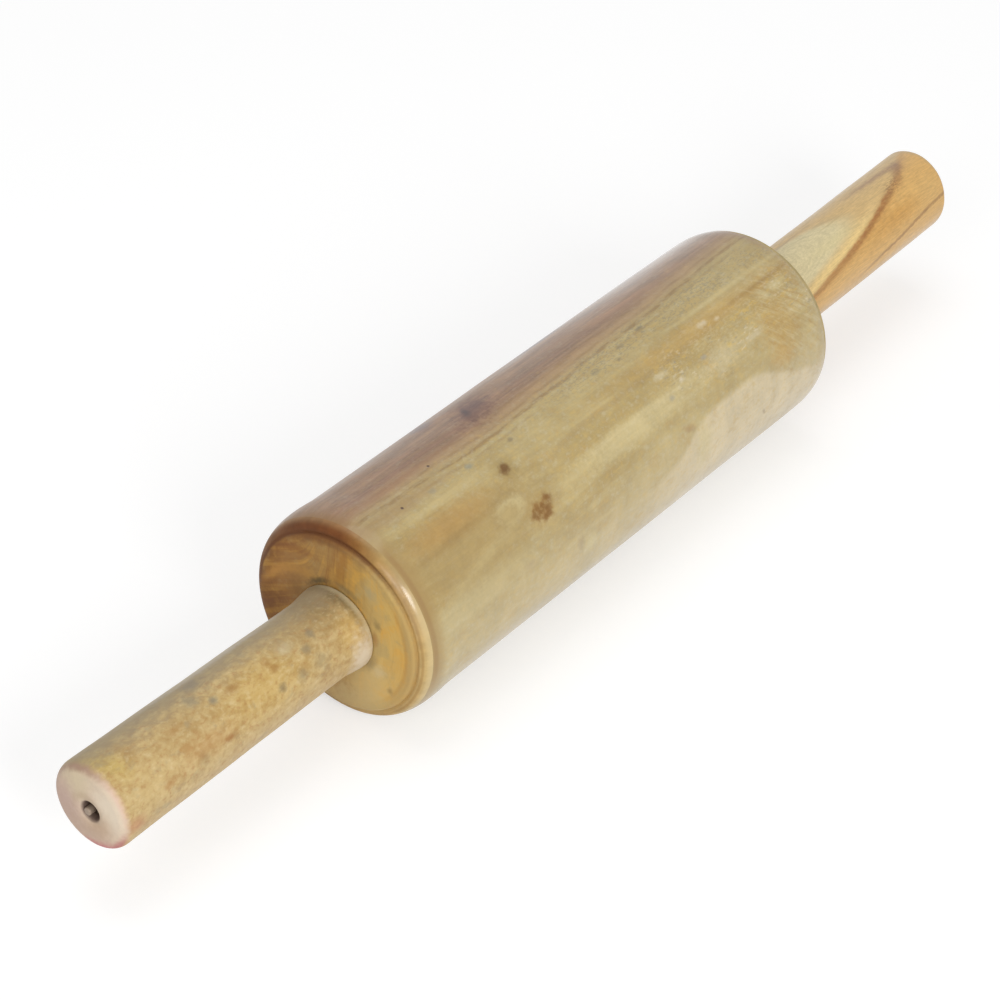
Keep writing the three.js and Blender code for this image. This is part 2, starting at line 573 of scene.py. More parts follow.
    def _smudges(self) -> bpy.types.NodeTree:
        """Blotches of grime from handling."""
        board, given, made = self._open(
            "handling_smudges",
            {"Point": "Vector", "Size": "Float", "Cover": "Float"}, {"Mask": "Float"})
        blot = board.noise(board.drawn_out(given["Point"], self.BLOT_ALONG),
                           board.math("DIVIDE", 1.0, given["Size"]), 4.0, 0.65, 0.3)
        edge = board.math("SUBTRACT", 0.8, board.times(given["Cover"], 0.4))
        board.feed(made["Mask"], board.span(blot, board.math("SUBTRACT", edge, 0.08),
                                            board.math("ADD", edge, 0.14)))
        return board.tree


@dataclass(frozen=True)
class Mark:
    """One placed mark on the wood, by its place along the pin and its turn from the top."""

    along: float
    turn: float
    half_length: float
    half_turn: float
    tone: Tone
    strength: float = 0.5
    softness: float = 0.8
    ragged: float = 0.8
    lean: float = 0.0
    depth: float = 0.0


@dataclass(frozen=True)
class Pattern:
    """An uneven pattern in the wood, as the settings of its noise."""

    scale: float
    detail: float = 3.0
    rough: float = 0.6
    twist: float = 0.0
    # How far it is drawn out along the pin: the lower, the longer
    along: float = 1.0


@dataclass(frozen=True)
class Drawn:
    """A line that is drawn along the pin, as points and the heights between which it stays."""

    points: tuple[tuple[float, float], ...]
    low: float
    high: float


@dataclass(frozen=True)
class Polish:
    """The oil or lacquer on a surface, as constants of its shader."""

    specular: float = 0.35
    coat: float = 0.3
    coat_roughness: float = 0.22


class Finish:
    """A material under way: its place on the pin, and the colour and height laid so far."""

    # The pattern that makes the edges of marks ragged
    RAGGED = Pattern(0.6)
    # Where a thin line starts and is full, in half widths from its middle
    THREAD_EDGE: Band = (1.5, 0.3)

    def __init__(self, name: str, effects: Effects, polish: Polish) -> None:
        """Starts the material.

        Args:
            name: The material's name.
            effects: The shared groups.
            polish: The constants of its shader.
        """
        self.material = bpy.data.materials.new(name)
        self.material.use_nodes = True
        self.board = Board(self.material.node_tree)
        self.effects = effects
        self.shader = self.material.node_tree.nodes["Principled BSDF"]
        self.shader.inputs["Specular IOR Level"].default_value = polish.specular
        self.shader.inputs["Coat Weight"].default_value = polish.coat
        self.shader.inputs["Coat Roughness"].default_value = polish.coat_roughness
        where = self.board.add("ShaderNodeTexCoord").outputs["Object"]
        spot = self.board.use(effects.place, Position=where)
        self.point, self.along, self.turn, self.radius = (
            spot["Point"], spot["Along"], spot["Turn"], spot["Radius"])
        self.ragged = self.board.sway(self.pattern(self.RAGGED), 1.0)
        self.colour: Source = linear((255, 255, 255))
        self.height: Source = 0.0

    def pattern(self, made: Pattern) -> Socket:
        """Lays a pattern over the piece and returns its value, which lies about 0.5."""
        where = self.board.drawn_out(self.point, made.along)
        return self.board.noise(where, made.scale, made.detail, made.rough, made.twist)

    def grained(self, waver: float, fibre: float, band: float) -> bpy.types.NodeOutputs:
        """Lays the shared wood grain, by its waver and the widths of its fibres and bands."""
        return self.board.use(self.effects.grain, Point=self.point, Waver=waver,
                              Fibre_Width=fibre, Band_Width=band)

    def turning_lines(self, pitch: float) -> Socket:
        """Lays the shared lines of the turning tool, at a pitch."""
        return self.board.use(self.effects.rings, Point=self.point, Along=self.along,
                              Radius=self.radius, Pitch=pitch)["Line"]

    def flecks(self, size: float, cover: float, shift: Sequence[float] = (0.0, 0.0, 0.0)
               ) -> Socket:
        """The mask of the shared flecks, by their size, how many there are and where they start."""
        point = self.board.vector("ADD", self.point, shift)
        return self.board.use(self.effects.flecks, Point=point, Size=size, Cover=cover)["Mask"]

    def smudges(self, size: float, cover: float) -> Socket:
        """The mask of the shared smudges, by their size and how many there are."""
        return self.board.use(self.effects.smudges, Point=self.point, Size=size,
                              Cover=cover)["Mask"]

    def follow(self, line: Drawn) -> Socket:
        """Follows a line that is drawn along the pin.

        Args:
            line: The line.

        Returns:
            The line's height at each place along the pin.
        """
        first, reach = line.points[0][0], line.points[-1][0] - line.points[0][0]
        rise = line.high - line.low
        node = self.board.add("ShaderNodeFloatCurve")
        curve = node.mapping.curves[0]
        for _ in line.points[2:]:
            curve.points.new(0.5, 0.5)
        for point, (along, height) in zip(curve.points, line.points):
            point.location = ((along - first) / reach, (height - line.low) / rise)
        node.mapping.update()
        share = self.board.math("MULTIPLY_ADD", self.along, 1 / reach, -first / reach)
        self.board.feed(node.inputs["Value"], share)
        return self.board.math("MULTIPLY_ADD", node.outputs[0], rise, line.low)

    def thread(self, value: Source, place: float, half: float) -> Socket:
        """The mask of a thin soft line, where value is at the place."""
        away = self.board.math("ABSOLUTE", self.board.math("SUBTRACT", value, place))
        return self.board.span(away, *(half * edge for edge in self.THREAD_EDGE))

    def mask_of(self, mark: Mark, along: Source | None = None) -> Socket:
        """Places a mark and returns its mask.

        Args:
            mark: The mark.
            along: What the mark's first place counts, if not the place along the pin.

        Returns:
            The mask.
        """
        return self.board.use(
            self.effects.mark, Along=self.along if along is None else along, Turn=self.turn,
            Ragged=self.ragged, At_Along=mark.along, At_Turn=mark.turn,
            Half_Length=mark.half_length, Half_Turn=mark.half_turn, Lean=mark.lean,
            Softness=mark.softness, Raggedness=mark.ragged)["Mask"]

    def lay(self, colour: Source, mask: Source) -> None:
        """Lays a colour over the one so far, where a mask shows it."""
        self.colour = self.board.cover(self.colour, colour, mask)

    def tint(self, tone: Tone, mask: Source, strength: float = 1.0) -> None:
        """Lays a plain tone over the colour so far, where a mask shows it, by a strength."""
        self.lay(linear(tone), self.board.times(mask, strength))

    def shade(self, level: Source) -> None:
        """Makes the colour so far lighter or darker by a factor."""
        self.colour = self.board.shade(self.colour, level)

    def mark(self, marks: Sequence[Mark], along: Source | None = None) -> None:
        """Lays marks over the colour so far, and sinks those that have a depth.

        Args:
            marks: The marks, lowest first.
            along: What the marks' first place counts, if not the place along the pin.
        """
        for mark in marks:
            mask = self.mask_of(mark, along)
            self.tint(mark.tone, mask, mark.strength)
            if mark.depth:
                self.height = self.board.math("MULTIPLY_ADD", mask, -mark.depth, self.height)

    def close(self, roughness: Source, relief: float) -> bpy.types.Material:
        """Feeds the shader and ends the work.

        Args:
            roughness: The roughness.
            relief: What a height of 1 is, in millimetres.

        Returns:
            The finished material.
        """
        bump = self.board.add("ShaderNodeBump")
        bump.inputs["Distance"].default_value = relief * MM
        bump.inputs["Strength"].default_value = 1.0
        self.board.feed(bump.inputs["Height"], self.height)
        for name, source in (("Base Color", self.colour), ("Roughness", roughness),
                             ("Normal", bump.outputs["Normal"])):
            self.board.feed(self.shader.inputs[name], source)
        return self.material


@dataclass(frozen=True)
class BarrelWood:
    """Oiled pale wood with a stripe of mauve-brown heartwood, a cream side that carries a painted
    reflection of the floor, and amber ends.
    """

    khaki: Tone = (179, 159, 109)
    khaki_dark: Tone = (168, 145, 92)
    khaki_pale: Tone = (190, 172, 122)
    tan: Tone = (168, 138, 98)
    mauve: Tone = (146, 112, 84)
    rose: Tone = (156, 118, 88)
    seam: Tone = (130, 96, 54)
    olive: Tone = (170, 147, 92)
    # Buff and cream are partly the wood's pale side and partly a painted reflection of the white
    # floor
    buff_and_reflection: Tone = (194, 176, 132)
    cream_and_reflection: Tone = (206, 189, 153)
    honey: Tone = (190, 154, 88)
    straw: Tone = (198, 166, 92)
    bone: Tone = (190, 180, 152)
    ash: Tone = (132, 126, 106)
    # chalk is laid as a painted sheen in the streaks near the far rim
    chalk: Tone = (210, 197, 160)
    rim_tan: Tone = (160, 132, 80)
    rim_umber: Tone = (142, 106, 62)
    heart_line: Drawn = Drawn((
        (-102, 7), (-80, 6.8), (-60, 7.6), (-40, 10), (-20, 9.2), (0, 7),
        (20, 5.4), (40, 4), (60, 1.4), (80, -0.4), (102, -2.5)), -40, 40)
    olive_line: Drawn = Drawn((
        (-102, 43), (-60, 42), (-35, 40), (-25, 36.5), (-15, 34.5), (0, 34),
        (30, 33), (60, 31), (102, 27)), 0, 60)
    cream_line: Drawn = Drawn((
        (-102, 92), (0, 90), (18, 84), (28, 75), (35, 71), (50, 69),
        (60, 70), (70, 76), (80, 84), (102, 96)), 40, 120)
    heart_rear: Drawn = Drawn((
        (-102, -112), (-70, -108), (-40, -103), (-10, -101), (20, -104),
        (45, -110), (70, -112), (102, -106)), -140, -70)
    # Dark lines along the heartwood's front and rear edges
    front_seams: Seams = (
        (0, 1.3, 0.6), (-4.6, 1, 0.35), (4.8, 1, 0.25), (-10.5, 1.6, 0.35),
        (-15, 1.2, 0.25), (-20, 2, 0.35))
    rear_seams: Seams = (
        (0, 1.4, 0.5), (4.5, 1, 0.35), (-4, 1, 0.25), (10, 1.6, 0.35), (17, 1.4, 0.3))
    # Masks by the turn from the top
    heart_turns: Window = ((12, -2), (-114, -102))
    speck_turns: Window = ((-2, 8), (24, 14))
    scuff_turns: Window = ((20, 30), (64, 50))
    dark_rim_turns: Window = ((26, -2), (-150, -90))
    hollow_shade_turns: Window = ((18, 34), (118, 96))
    buff_turns: Band = (58, 100)
    cream_back: Band = (175, 145)
    smear_turns: Band = (50, 75)
    fibre_turns: Band = (84, 60)
    # Where the painted shade on the underside comes in
    painted_shade_turns: Band = (96, 120)
    # Masks by the turn past a drawn line
    olive_sides: Window = ((-3, 4), (18, 8))
    cream_side: Band = (-2, 3)
    # The same for the heartwood, past its front line and past its rear line
    tan_sides: Window = ((3, -7), (-3, 7))
    mauve_sides: Window = ((-6, -16), (4, 14))
    # Masks by the place along the pin
    olive_from: Band = (-38, -22)
    buff_along: Band = (-95, 0)
    cream_from: Band = (-10, 34)
    speck_along: Band = (-30, 10)
    scuff_from: Band = (5, 40)
    sheen_along: Band = (-30, 90)
    shoulder_from: Band = (92.5, 98.6)
    tan_rim_from: Band = (-91, -95.5)
    # The painted shade of a shallow hollow behind the near bead, which the outline leaves out, as
    # its place and half width
    hollow: tuple[float, float] = (-96.4, 0.9)
    mottle: Pattern = Pattern(0.24, rough=0.65, twist=0.5, along=0.7)
    yellowing: Pattern = Pattern(0.6, rough=0.65, along=0.8)
    pores: Pattern = Pattern(1.1, detail=2.0)
    blur: Pattern = Pattern(0.07, twist=0.6)
    seam_wear: Pattern = Pattern(0.6, along=0.26667)
    seam_sway: Pattern = Pattern(0.04, detail=2.0, rough=0.5, along=1.5)
    heart_fibre: Pattern = Pattern(1.1, rough=0.65, along=0.03)
    heart_blotch: Pattern = Pattern(0.2, along=0.28)
    rim_stain: Pattern = Pattern(0.25, along=0.3)
    # How far the drawn lines waver, in degrees, and the depth of the relief in millimetres
    waver: float = 2.5
    relief: float = 0.12
    # Specks on the far half, as (tone, shift of their pattern, size, cover, strength)
    scuffs: tuple[tuple[Tone, float, float, float, float], ...] = (
        ((210, 197, 160), 40.0, 0.6, 0.7, 0.16), ((206, 170, 84), 150.0, 1.3, 0.44, 0.4),
        ((220, 210, 186), 90.0, 1.2, 0.38, 0.36), ((140, 134, 118), 210.0, 0.9, 0.34, 0.5))
    # Where every speck pattern is shifted across and up, besides its own shift along
    scuff_shift: tuple[float, float] = (9.0, 5.0)
    marks: tuple[Mark, ...] = (
        Mark(-86, 12, 24, 5, (158, 128, 84), 0.6, 0.6, 0.4),
        Mark(-76, 48, 36, 18, (162, 136, 82), 0.7, 0.6, 0.4),
        Mark(-70, 70, 13, 9, (164, 142, 92), 0.6, 0.9, 0.6),
        Mark(-74, 34, 16, 7, (172, 132, 66), 0.6, 0.8, 0.5),
        Mark(-73, 22, 26, 1.8, (200, 180, 128), 0.4, 0.95, 0.9),
        Mark(-77, 41.6, 24, 1.8, (146, 118, 66), 0.35, 0.95, 0.9, lean=-0.06),
        Mark(-66, 57.5, 16, 2.8, (196, 178, 128), 0.3, 0.95, 1, lean=-0.34),
        Mark(-85, 74, 26, 7, (198, 182, 136), 0.5, 0.8, 0.5),
        Mark(4, 53, 28, 5.6, (204, 188, 140), 0.6),
        Mark(6, 48.2, 24, 1.8, (208, 192, 146), 0.4, 0.95, 0.9),
        Mark(-30.5, -16, 7.4, 11, (98, 54, 42), 0.72, 0.8, 1, lean=-0.6),
        Mark(-34.4, -22, 1.6, 3.5, (176, 132, 88), 0.4, 0.9),
        Mark(-34, -11.5, 2, 5, (82, 40, 30), 0.66, 0.8, 0.9, lean=-1.2),
        Mark(-28, -14.5, 3.4, 5.5, (84, 46, 38), 0.5, 0.9, 1),
        Mark(-32.8, -16, 1.5, 2.6, (62, 30, 26), 0.9, 0.8, 0.6, lean=-2),
        Mark(-41.5, -6, 1.7, 2.4, (118, 80, 62), 0.5, 0.9),
        Mark(-42, -35, 4, 7, (104, 88, 92), 0.65, 0.8, 0.5, lean=-0.8),
        Mark(16, -41, 10, 4, (92, 80, 84), 0.75, 0.7, 0.4),
        Mark(-60, -9, 34, 2, (138, 96, 72), 0.4, 0.8, 0.4),
        Mark(-80, -2, 30, 2.4, (150, 108, 76), 0.5, 0.8, 0.4),
        Mark(20, -12, 44, 1.8, (142, 106, 80), 0.4, 0.8, 0.4),
        Mark(52, 28.5, 38, 5, (190, 154, 84), 0.5, 0.8, 0.5),
        Mark(80, 28.8, 20, 1.1, (150, 116, 58), 0.45, 0.9),
        Mark(70, 20, 30, 1.4, (204, 186, 134), 0.45, 0.8, 0.4),
        Mark(79, 54, 8, 16, (188, 152, 80)),
        Mark(75, 70, 5, 6, (186, 148, 80)),
        Mark(79.5, 36, 2.2, 3, (210, 196, 150), lean=1),
        Mark(87, 35, 3.4, 2.4, (210, 196, 150)),
        Mark(-45, 28.5, 3.6, 5.6, (150, 126, 72), 0.5, 0.7, 0.5),
        Mark(-45, 28.5, 1.8, 2.9, (104, 66, 8), 0.9, 0.6, 0.7, depth=0.3),
        Mark(-52, 46, 6.8, 7.2, (152, 126, 74), 0.3, 0.6),
        Mark(-52.3, 47, 5.4, 6, (206, 189, 140), 0.66, 0.45, 0.7),
        Mark(-53.4, 48.2, 4.3, 4.6, (172, 148, 94), 0.76, 0.45, 0.7),
        Mark(-42, 62, 6, 6, (198, 178, 126), 0.35, 0.9),
        Mark(-61.5, 1.5, 0.45, 0.8, (64, 34, 26), 0.9, 0.5, 0.1, depth=0.6),
        Mark(-80.5, 13, 0.45, 0.8, (64, 34, 26), 0.9, 0.5, 0.1, depth=0.6),
        Mark(-53.1, 16, 1.2, 1.5, (130, 134, 122), 0.6),
        Mark(-69, 15, 1.1, 1.5, (142, 140, 122), 0.4),
        Mark(-35.5, 17.5, 1, 1.2, (120, 104, 76), 0.6, 0.7, 0.5),
        Mark(7, 15, 1.7, 1.5, (128, 120, 96)),
        Mark(21.5, 11, 1.4, 1.2, (128, 118, 92)),
        Mark(33, 9, 1.3, 1.4, (112, 104, 84), 0.55),
        Mark(17, 17, 1, 1, (122, 112, 86)),
        Mark(51, 28.6, 2, 1.4, (216, 206, 182), 0.5, 0.9, 1),
        Mark(57.5, 31, 1, 1, (216, 206, 182), 0.45, 0.9, 1),
        Mark(55, 46.5, 1, 1.4, (208, 174, 72), 0.6),
        Mark(30.5, 46, 1.1, 1.4, (214, 206, 186), 0.5, 0.9, 1),
        Mark(24, 38, 2.6, 1.4, (206, 194, 162), 0.5, 0.9, 1),
        Mark(43, 43.6, 1.2, 1.2, (142, 142, 138), 0.55),
        Mark(23, 51, 1, 1.4, (150, 146, 134)),
        Mark(50, 50, 8, 6, (208, 194, 156), 0.4, 0.9, 1),
        Mark(66, 50.5, 4, 1.6, (206, 194, 164), 0.45, 0.9, 1),
        Mark(25, 71, 2.4, 1.8, (156, 120, 76), 0.5, 0.9, lean=0.6),
        Mark(63, 95.6, 0.8, 1.4, (146, 124, 96), 0.6, 0.8, 0.6, lean=1.4),
        Mark(-26, 92, 3.2, 4.4, (208, 194, 144), 0.5, 0.9),
        Mark(-30.5, 88, 1.3, 4.4, (158, 138, 104), 0.5, 0.9, lean=1),
        Mark(-53, 78, 2, 2.4, (172, 150, 112), 0.4, 0.9),
        Mark(31, 86, 3, 13, (198, 182, 128), 0.5, 0.9, 0.6),
        Mark(20, -72, 46, 2.2, (112, 78, 58), 0.55, 0.9, 0.6),
        Mark(-42, -86, 40, 1.8, (116, 82, 62), 0.5, 0.9, 0.6),
        Mark(46, -91, 36, 2.8, (126, 92, 66), 0.5, 0.9, 0.6),
        Mark(-10, -60, 60, 4, (164, 124, 96), 0.45, 0.9),
        Mark(34, -130, 6, 8, (150, 120, 70), 0.5, 0.8, 0.6),
        Mark(34, -130, 2.2, 3.4, (108, 74, 32), 0.85, 0.7, depth=0.3),
        Mark(-50, -146, 34, 10, (198, 182, 134), 0.45, 0.9),
        Mark(24, -158, 50, 5, (158, 132, 82), 0.5, 0.9),
        Mark(-16, 168, 56, 7, (164, 140, 88), 0.5, 0.9),
        Mark(60, 150, 24, 9, (206, 190, 150), 0.45, 0.9),
    )
    # The big knot: a tan ground, and the spots on it as (along, turn, half length)
    knot_ground: Mark = Mark(-42, 56.5, 5.4, 6.4, (158, 119, 46), 0.5, 0.95, 0.9)
    knot_spot: Mark = Mark(0, 0, 1.1, 1.9, (124, 80, 14), 0.75, 0.9, 1, depth=0.1)
    knot_spots: tuple[tuple[float, float, float], ...] = (
        (-46, 57, 1.1), (-44, 54, 1.2), (-42, 58, 1.4), (-42.5, 61, 1),
        (-40, 57, 1.2), (-39.5, 52.2, 1), (-38.2, 53.5, 0.9), (-45, 59.2, 0.9),
        (-43.6, 56.6, 1), (-40.4, 60.2, 1), (-41.6, 54.6, 0.8))
    torn_and_sheen_zone: Mark = Mark(84, 52, 14, 32, (166, 124, 60), 1, 0.6, 0.6)
    polish: Polish = Polish(specular=0.25, coat=0.5, coat_roughness=0.14)

    def make(self, effects: Effects) -> bpy.types.Material:
        """Builds the material.

        Args:
            effects: The shared groups.

        Returns:
            The material.
        """
        work = Finish("barrel_wood_finish", effects, self.polish)
        board = work.board
        grain = work.grained(waver=4.0, fibre=0.6, band=2.6)
        fibre, band, cloud = grain["Fibre"], grain["Band"], grain["Cloud"]
        turn = board.total(work.turn, board.sway(cloud, self.waver))
        work.colour = linear(self.khaki_dark)
        work.tint(self.khaki, board.span(cloud, 0.32, 0.55))
        work.tint(self.khaki_pale, board.span(band, 0.45, 0.75, 0.0, 0.55))
        self._front(work, turn)
        self._heartwood(work, turn, band)
        self._specks(work)
        mottle = work.pattern(self.mottle)
        heart = board.window(work.turn, self.heart_turns)
        honeyed = board.times(board.span(mottle, 0.52, 0.72, 0.0, 0.3),
                              board.math("SUBTRACT", 1.0, heart))
        work.tint(self.honey, honeyed)
        yellowing = work.pattern(self.yellowing)
        pale_wood = board.math("MULTIPLY_ADD", heart, -0.6, 1.0)
        for tone, full in ((self.straw, 0.72), (self.bone, 0.28)):
            work.tint(tone, board.times(board.span(yellowing, 0.5, full, 0.0, 0.34), pale_wood))
        work.height = board.times(fibre, 0.2)
        work.mark(self.marks)
        self._big_knot(work)
        work.shade(self._uneven(work, fibre, mottle))
        self._torn_end_and_sheen(work)
        self._rims(work)
        sheen = board.span(work.along, *self.sheen_along, -0.25, 0.5)
        board.feed(work.shader.inputs["Coat Weight"],
                   board.math("MULTIPLY_ADD", sheen, board.span(work.turn, *SHEEN_TURNS),
                              self.polish.coat))
        return work.close(board.vary(cloud, 0.32, 0.44), self.relief)

    def _front(self, work: Finish, turn: Source) -> None:
        """Lays the darker olive streak, and the buff and cream down the front, which are partly the
        wood's pale side and partly a painted reflection of the floor.

        Args:
            work: The material under way.
            turn: The wavering turn from the top.
        """
        board = work.board
        past = board.math("SUBTRACT", turn, work.follow(self.olive_line))
        start = board.span(work.along, *self.olive_from)
        streak = board.times(board.window(past, self.olive_sides), start)
        work.tint(self.olive, streak, 0.6)
        edge = board.times(work.thread(past, 0.0, 2.0), start)
        work.tint(self.seam, edge, 0.18)
        back = board.span(turn, *self.cream_back)
        # The buff and cream are partly a painted reflection of the floor on the lower front
        light = board.times(board.span(turn, *self.buff_turns, 0.0, 0.8), back,
                            board.span(work.along, *self.buff_along, 0.55, 1.0))
        work.tint(self.buff_and_reflection, light)
        arch = board.math("SUBTRACT", turn, work.follow(self.cream_line))
        cream_and_reflection = board.times(board.span(arch, *self.cream_side, 0.0, 0.92),
                            board.span(work.along, *self.cream_from), back)
        work.tint(self.cream_and_reflection, cream_and_reflection)
        smear = board.vary(work.turning_lines(7.0), -0.04, 0.03)
        low = board.span(turn, *self.smear_turns)
        work.shade(board.math("MULTIPLY_ADD", smear, low, 1.0))

    def _heartwood(self, work: Finish, turn: Source, band: Source) -> None:
        """Lays the heartwood stripe: tan, then mauve-brown, with thin dark lines along it.

        Args:
            work: The material under way.
            turn: The wavering turn from the top.
            band: The broad bands of the grain.
        """
        board = work.board
        past, behind = (board.math("SUBTRACT", turn, work.follow(line))
                        for line in (self.heart_line, self.heart_rear))
        stripe, deep = (board.times(board.span(past, *front), board.span(behind, *rear))
                        for front, rear in (self.tan_sides, self.mauve_sides))
        work.tint(self.tan, stripe)
        work.tint(self.mauve, deep, 0.9)
        work.tint(self.rose, board.times(board.span(band, 0.45, 0.7), deep))
        worn = board.span(work.pattern(self.seam_wear), 0.4, 0.6, 0.25, 1.0)
        sway = board.sway(work.pattern(self.seam_sway), 2.0)
        for edge, seams in ((past, self.front_seams), (behind, self.rear_seams)):
            swayed = board.total(sway, edge)
            for place, half, strength in seams:
                broken = board.times(work.thread(swayed, place, half), worn)
                work.tint(self.seam, broken, strength)
        uneven = board.total(board.vary(work.pattern(self.heart_fibre), -0.13, 0.13),
                             board.vary(work.pattern(self.heart_blotch), -0.16, 0.14))
        work.shade(board.math("MULTIPLY_ADD", uneven, deep, 1.0))

    def _specks(self, work: Finish) -> None:
        """Scatters grey specks along the seam and chalky scuffs on the far half.

        Args:
            work: The material under way.
        """
        board = work.board
        beside = board.times(board.window(work.turn, self.speck_turns),
                             board.span(work.along, *self.speck_along, 0.3, 1.0))
        work.tint(self.ash, board.times(work.flecks(0.5, 0.7), beside), 0.45)
        scuffed = board.times(board.window(work.turn, self.scuff_turns),
                              board.span(work.along, *self.scuff_from))
        for tone, shift, size, cover, strength in self.scuffs:
            speck = work.flecks(size, cover, (shift, *self.scuff_shift))
            work.tint(tone, board.times(speck, scuffed), strength)

    def _uneven(self, work: Finish, fibre: Source, mottle: Source) -> Source:
        """The light and dark of fibres, mottle and pores, and painted shade on the underside.

        Args:
            work: The material under way.
            fibre: The fibres of the grain.
            mottle: The mottle.

        Returns:
            A factor for the colour.
        """
        board = work.board
        fibres = board.times(board.vary(fibre, -0.028, 0.028),
                             board.span(work.turn, *self.fibre_turns, 0.35, 1.0))
        # The last term is painted shade on the underside
        return board.total(
            fibres, board.span(mottle, 0.32, 0.68, 0.035, -0.035),
            board.vary(work.pattern(self.pores), -0.025, 0.025),
            board.vary(work.pattern(self.blur), 0.95, 1.05),
            board.span(board.math("ABSOLUTE", work.turn), *self.painted_shade_turns, 0.0, -0.09))

    def _big_knot(self, work: Finish) -> None:
        """Lays the speckled knot.

        Args:
            work: The material under way.
        """
        spot = self.knot_spot
        spots = [replace(spot, along=along, turn=turn, half_length=size * spot.half_length,
                         half_turn=size * spot.half_turn) for along, turn, size in self.knot_spots]
        work.mark([self.knot_ground] + spots)

    def _torn_end_and_sheen(self, work: Finish) -> None:
        """Lays the short slanting tears that the turning tool left near the far rim, and chalky
        streaks among them that are a painted sheen.

        Args:
            work: The material under way.
        """
        board = work.board
        wrap = board.times(work.turn, math.radians(BARREL_RADIUS))
        tear = board.join(board.math("SUBTRACT", work.along, wrap),
                          board.times(board.total(work.along, wrap), 0.16))
        torn_and_sheen = board.noise(tear, 0.46, 3.0, 0.68)
        zone = work.mask_of(self.torn_and_sheen_zone)
        # The amber streaks are tears; the chalk streaks are a painted sheen
        for tone, full, strength in ((self.torn_and_sheen_zone.tone, 0.72, 0.46), (self.chalk, 0.3, 0.36)):
            work.tint(tone, board.times(board.span(torn_and_sheen, 0.5, full), zone), strength)
        work.height = board.math("MULTIPLY_ADD", board.times(torn_and_sheen, zone), 0.5, work.height)

    def _rims(self, work: Finish) -> None:
        """Darkens the barrel towards its rims, to umber on the heartwood's side, and paints the
        shade of the hollow behind the near bead.

        Args:
            work: The material under way.
        """
        board = work.board
        dark_side = board.window(work.turn, self.dark_rim_turns)
        reach = board.math("ABSOLUTE", work.along)
        shoulder = board.times(board.span(reach, *self.shoulder_from), dark_side,
                               board.vary(work.pattern(self.rim_stain), 0.8, 1.0))
        work.tint(self.rim_umber, shoulder)
        rim = board.times(board.span(work.along, *self.tan_rim_from),
                          board.math("SUBTRACT", 1.0, dark_side))
        work.tint(self.rim_tan, rim, 0.75)
        # Painted shade of the hollow behind the near bead
        hollow = board.times(work.thread(work.along, *self.hollow),
                             board.window(work.turn, self.hollow_shade_turns))
        work.tint(self.rim_umber, hollow, 0.45)


